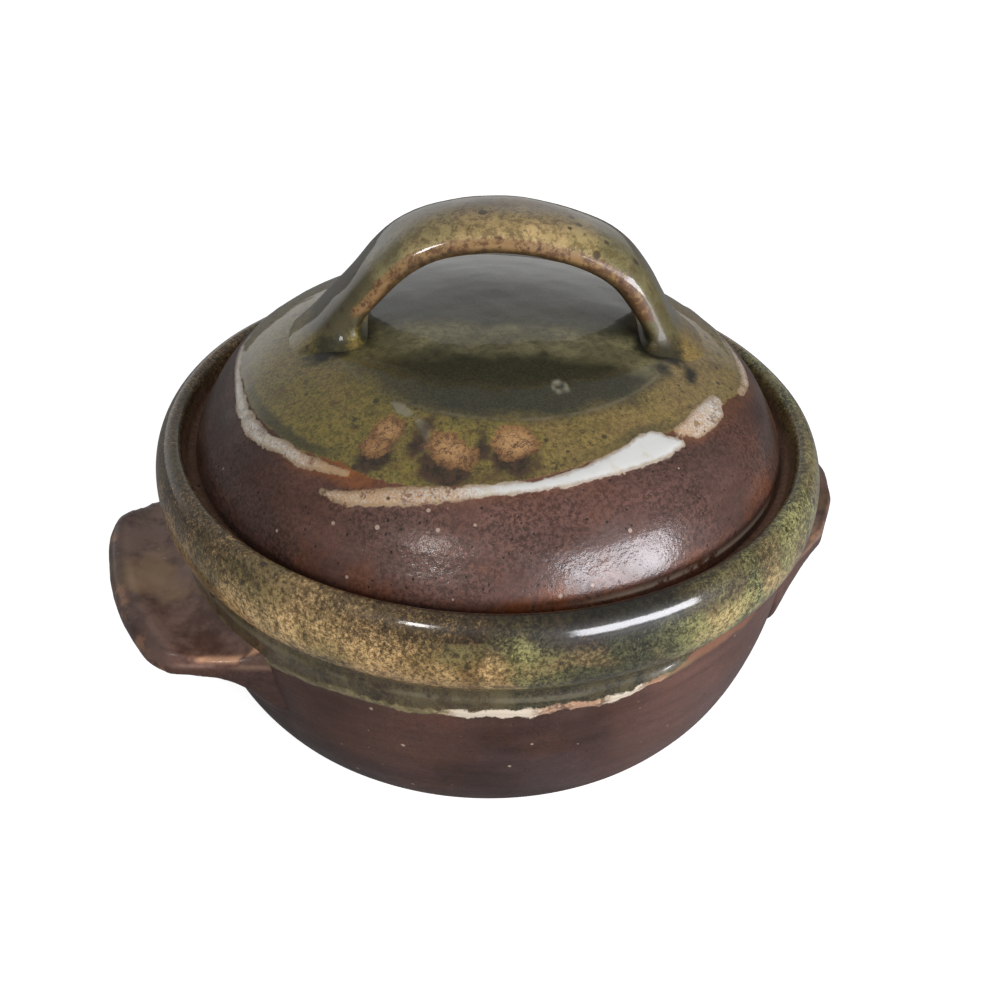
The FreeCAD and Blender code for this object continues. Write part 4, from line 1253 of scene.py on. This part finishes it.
def floor_finish(tint):
    material = bpy.data.materials.new("Studio paper")
    r = empty_tree(material)
    _, seen = looked_at(r)
    paper = r.get("ShaderNodeBsdfDiffuse", {"Color": seen.mix([0.42 * part for part in tint], tint)})
    glow = r.get("ShaderNodeEmission", {"Strength": seen * 0.76})
    r.add("ShaderNodeOutputMaterial", [r.get("ShaderNodeAddShader", [paper, glow])])
    return material


class BEANPOT_OT_studio(bpy.types.Operator):
    """Set the plain floor, the soft lamps, the pale surroundings and the camera"""
    bl_idname = "bean_pot.studio"
    bl_label = "Studio"

    def execute(self, context):
        s = context.scene.bean_pot_studio
        leave_edit_mode()
        bpy.ops.mesh.primitive_plane_add(size=12.0, location=(0, 0, -0.0002))
        floor = context.object
        floor.name = "studio_floor"
        floor.data.materials.append(floor_finish(s.floor))
        soft_lamp("Window", -71, 10, 1.3, (0.95, 0.34), s.window, (0.94, 0.94, 1.0))
        soft_lamp("Left fill", -136, 30, 1.2, (0.16, 0.20), s.fill, (1.0, 0.98, 0.95))

        world = bpy.data.worlds.new("Pale room")
        context.scene.world = world
        r = empty_tree(world)
        x, y, z = r.axes(r.get("ShaderNodeTexCoord", output="Generated"))
        rays, seen = looked_at(r)
        room = z.span(0.05, 0.70, 0.72, 0.26)
        behind = (x * 0.09 + y).span(0.55, 0.82)
        mirrored = behind.mix(z.span(0.12, 0.50, 0.13, 0.28), room)
        lit = r.blend(rays["Is Glossy Ray"], room * 1.05, mirrored)
        back = r.get("ShaderNodeBackground", {"Color": (1.0, 1.0, 1.0), "Strength": seen.most(lit)})
        r.add("ShaderNodeOutputWorld", [back])

        data = bpy.data.cameras.new("Camera")
        data.lens = CAMERA_LENS
        data.sensor_width = 36.0
        data.clip_start = 0.01
        camera = bpy.data.objects.new("Camera", data)
        context.collection.objects.link(camera)
        camera.location = CAMERA_PLACE
        camera.rotation_euler = look_along(CAMERA_PITCH, CAMERA_HEADING, CAMERA_ROLL).to_euler()
        context.scene.camera = camera
        context.scene.view_settings.view_transform = "Standard"
        return {"FINISHED"}


# ------------------------------------------------------------------ sidebar and registration
class BEANPOT_PT_panel(bpy.types.Panel):
    """Sizes, colours and steps of the bean pot"""
    bl_label = "Bean Pot"
    bl_idname = "BEANPOT_PT_panel"
    bl_space_type = "VIEW_3D"
    bl_region_type = "UI"
    bl_category = "Bean Pot"

    def draw(self, context):
        for step, name in zip(STEPS, SETTINGS):
            box = self.layout.box()
            box.operator(step.bl_idname)
            for key in SETTINGS[name].__annotations__:
                box.prop(getattr(context.scene, name), key)


SETTINGS = {"bean_pot_bowl": BeanPotBowlSettings, "bean_pot_lugs": BeanPotLugSettings,
            "bean_pot_lid": BeanPotLidSettings, "bean_pot_handle": BeanPotHandleSettings,
            "bean_pot_studio": BeanPotStudioSettings}
STEPS = [BEANPOT_OT_bowl, BEANPOT_OT_lugs, BEANPOT_OT_lid, BEANPOT_OT_handle, BEANPOT_OT_studio]


def register():
    for kind in [*SETTINGS.values(), *STEPS, BEANPOT_PT_panel]:
        bpy.utils.register_class(kind)
    for name, kind in SETTINGS.items():
        setattr(bpy.types.Scene, name, PointerProperty(type=kind))


def unregister():
    for name in SETTINGS:
        delattr(bpy.types.Scene, name)
    for kind in reversed([*SETTINGS.values(), *STEPS, BEANPOT_PT_panel]):
        bpy.utils.unregister_class(kind)


def main():
    register()
    bpy.ops.bean_pot.bowl()
    bpy.ops.bean_pot.lugs()
    bpy.ops.bean_pot.lid()
    bpy.ops.bean_pot.handle()
    bpy.ops.bean_pot.studio()


if __name__ == "__main__":
    main()
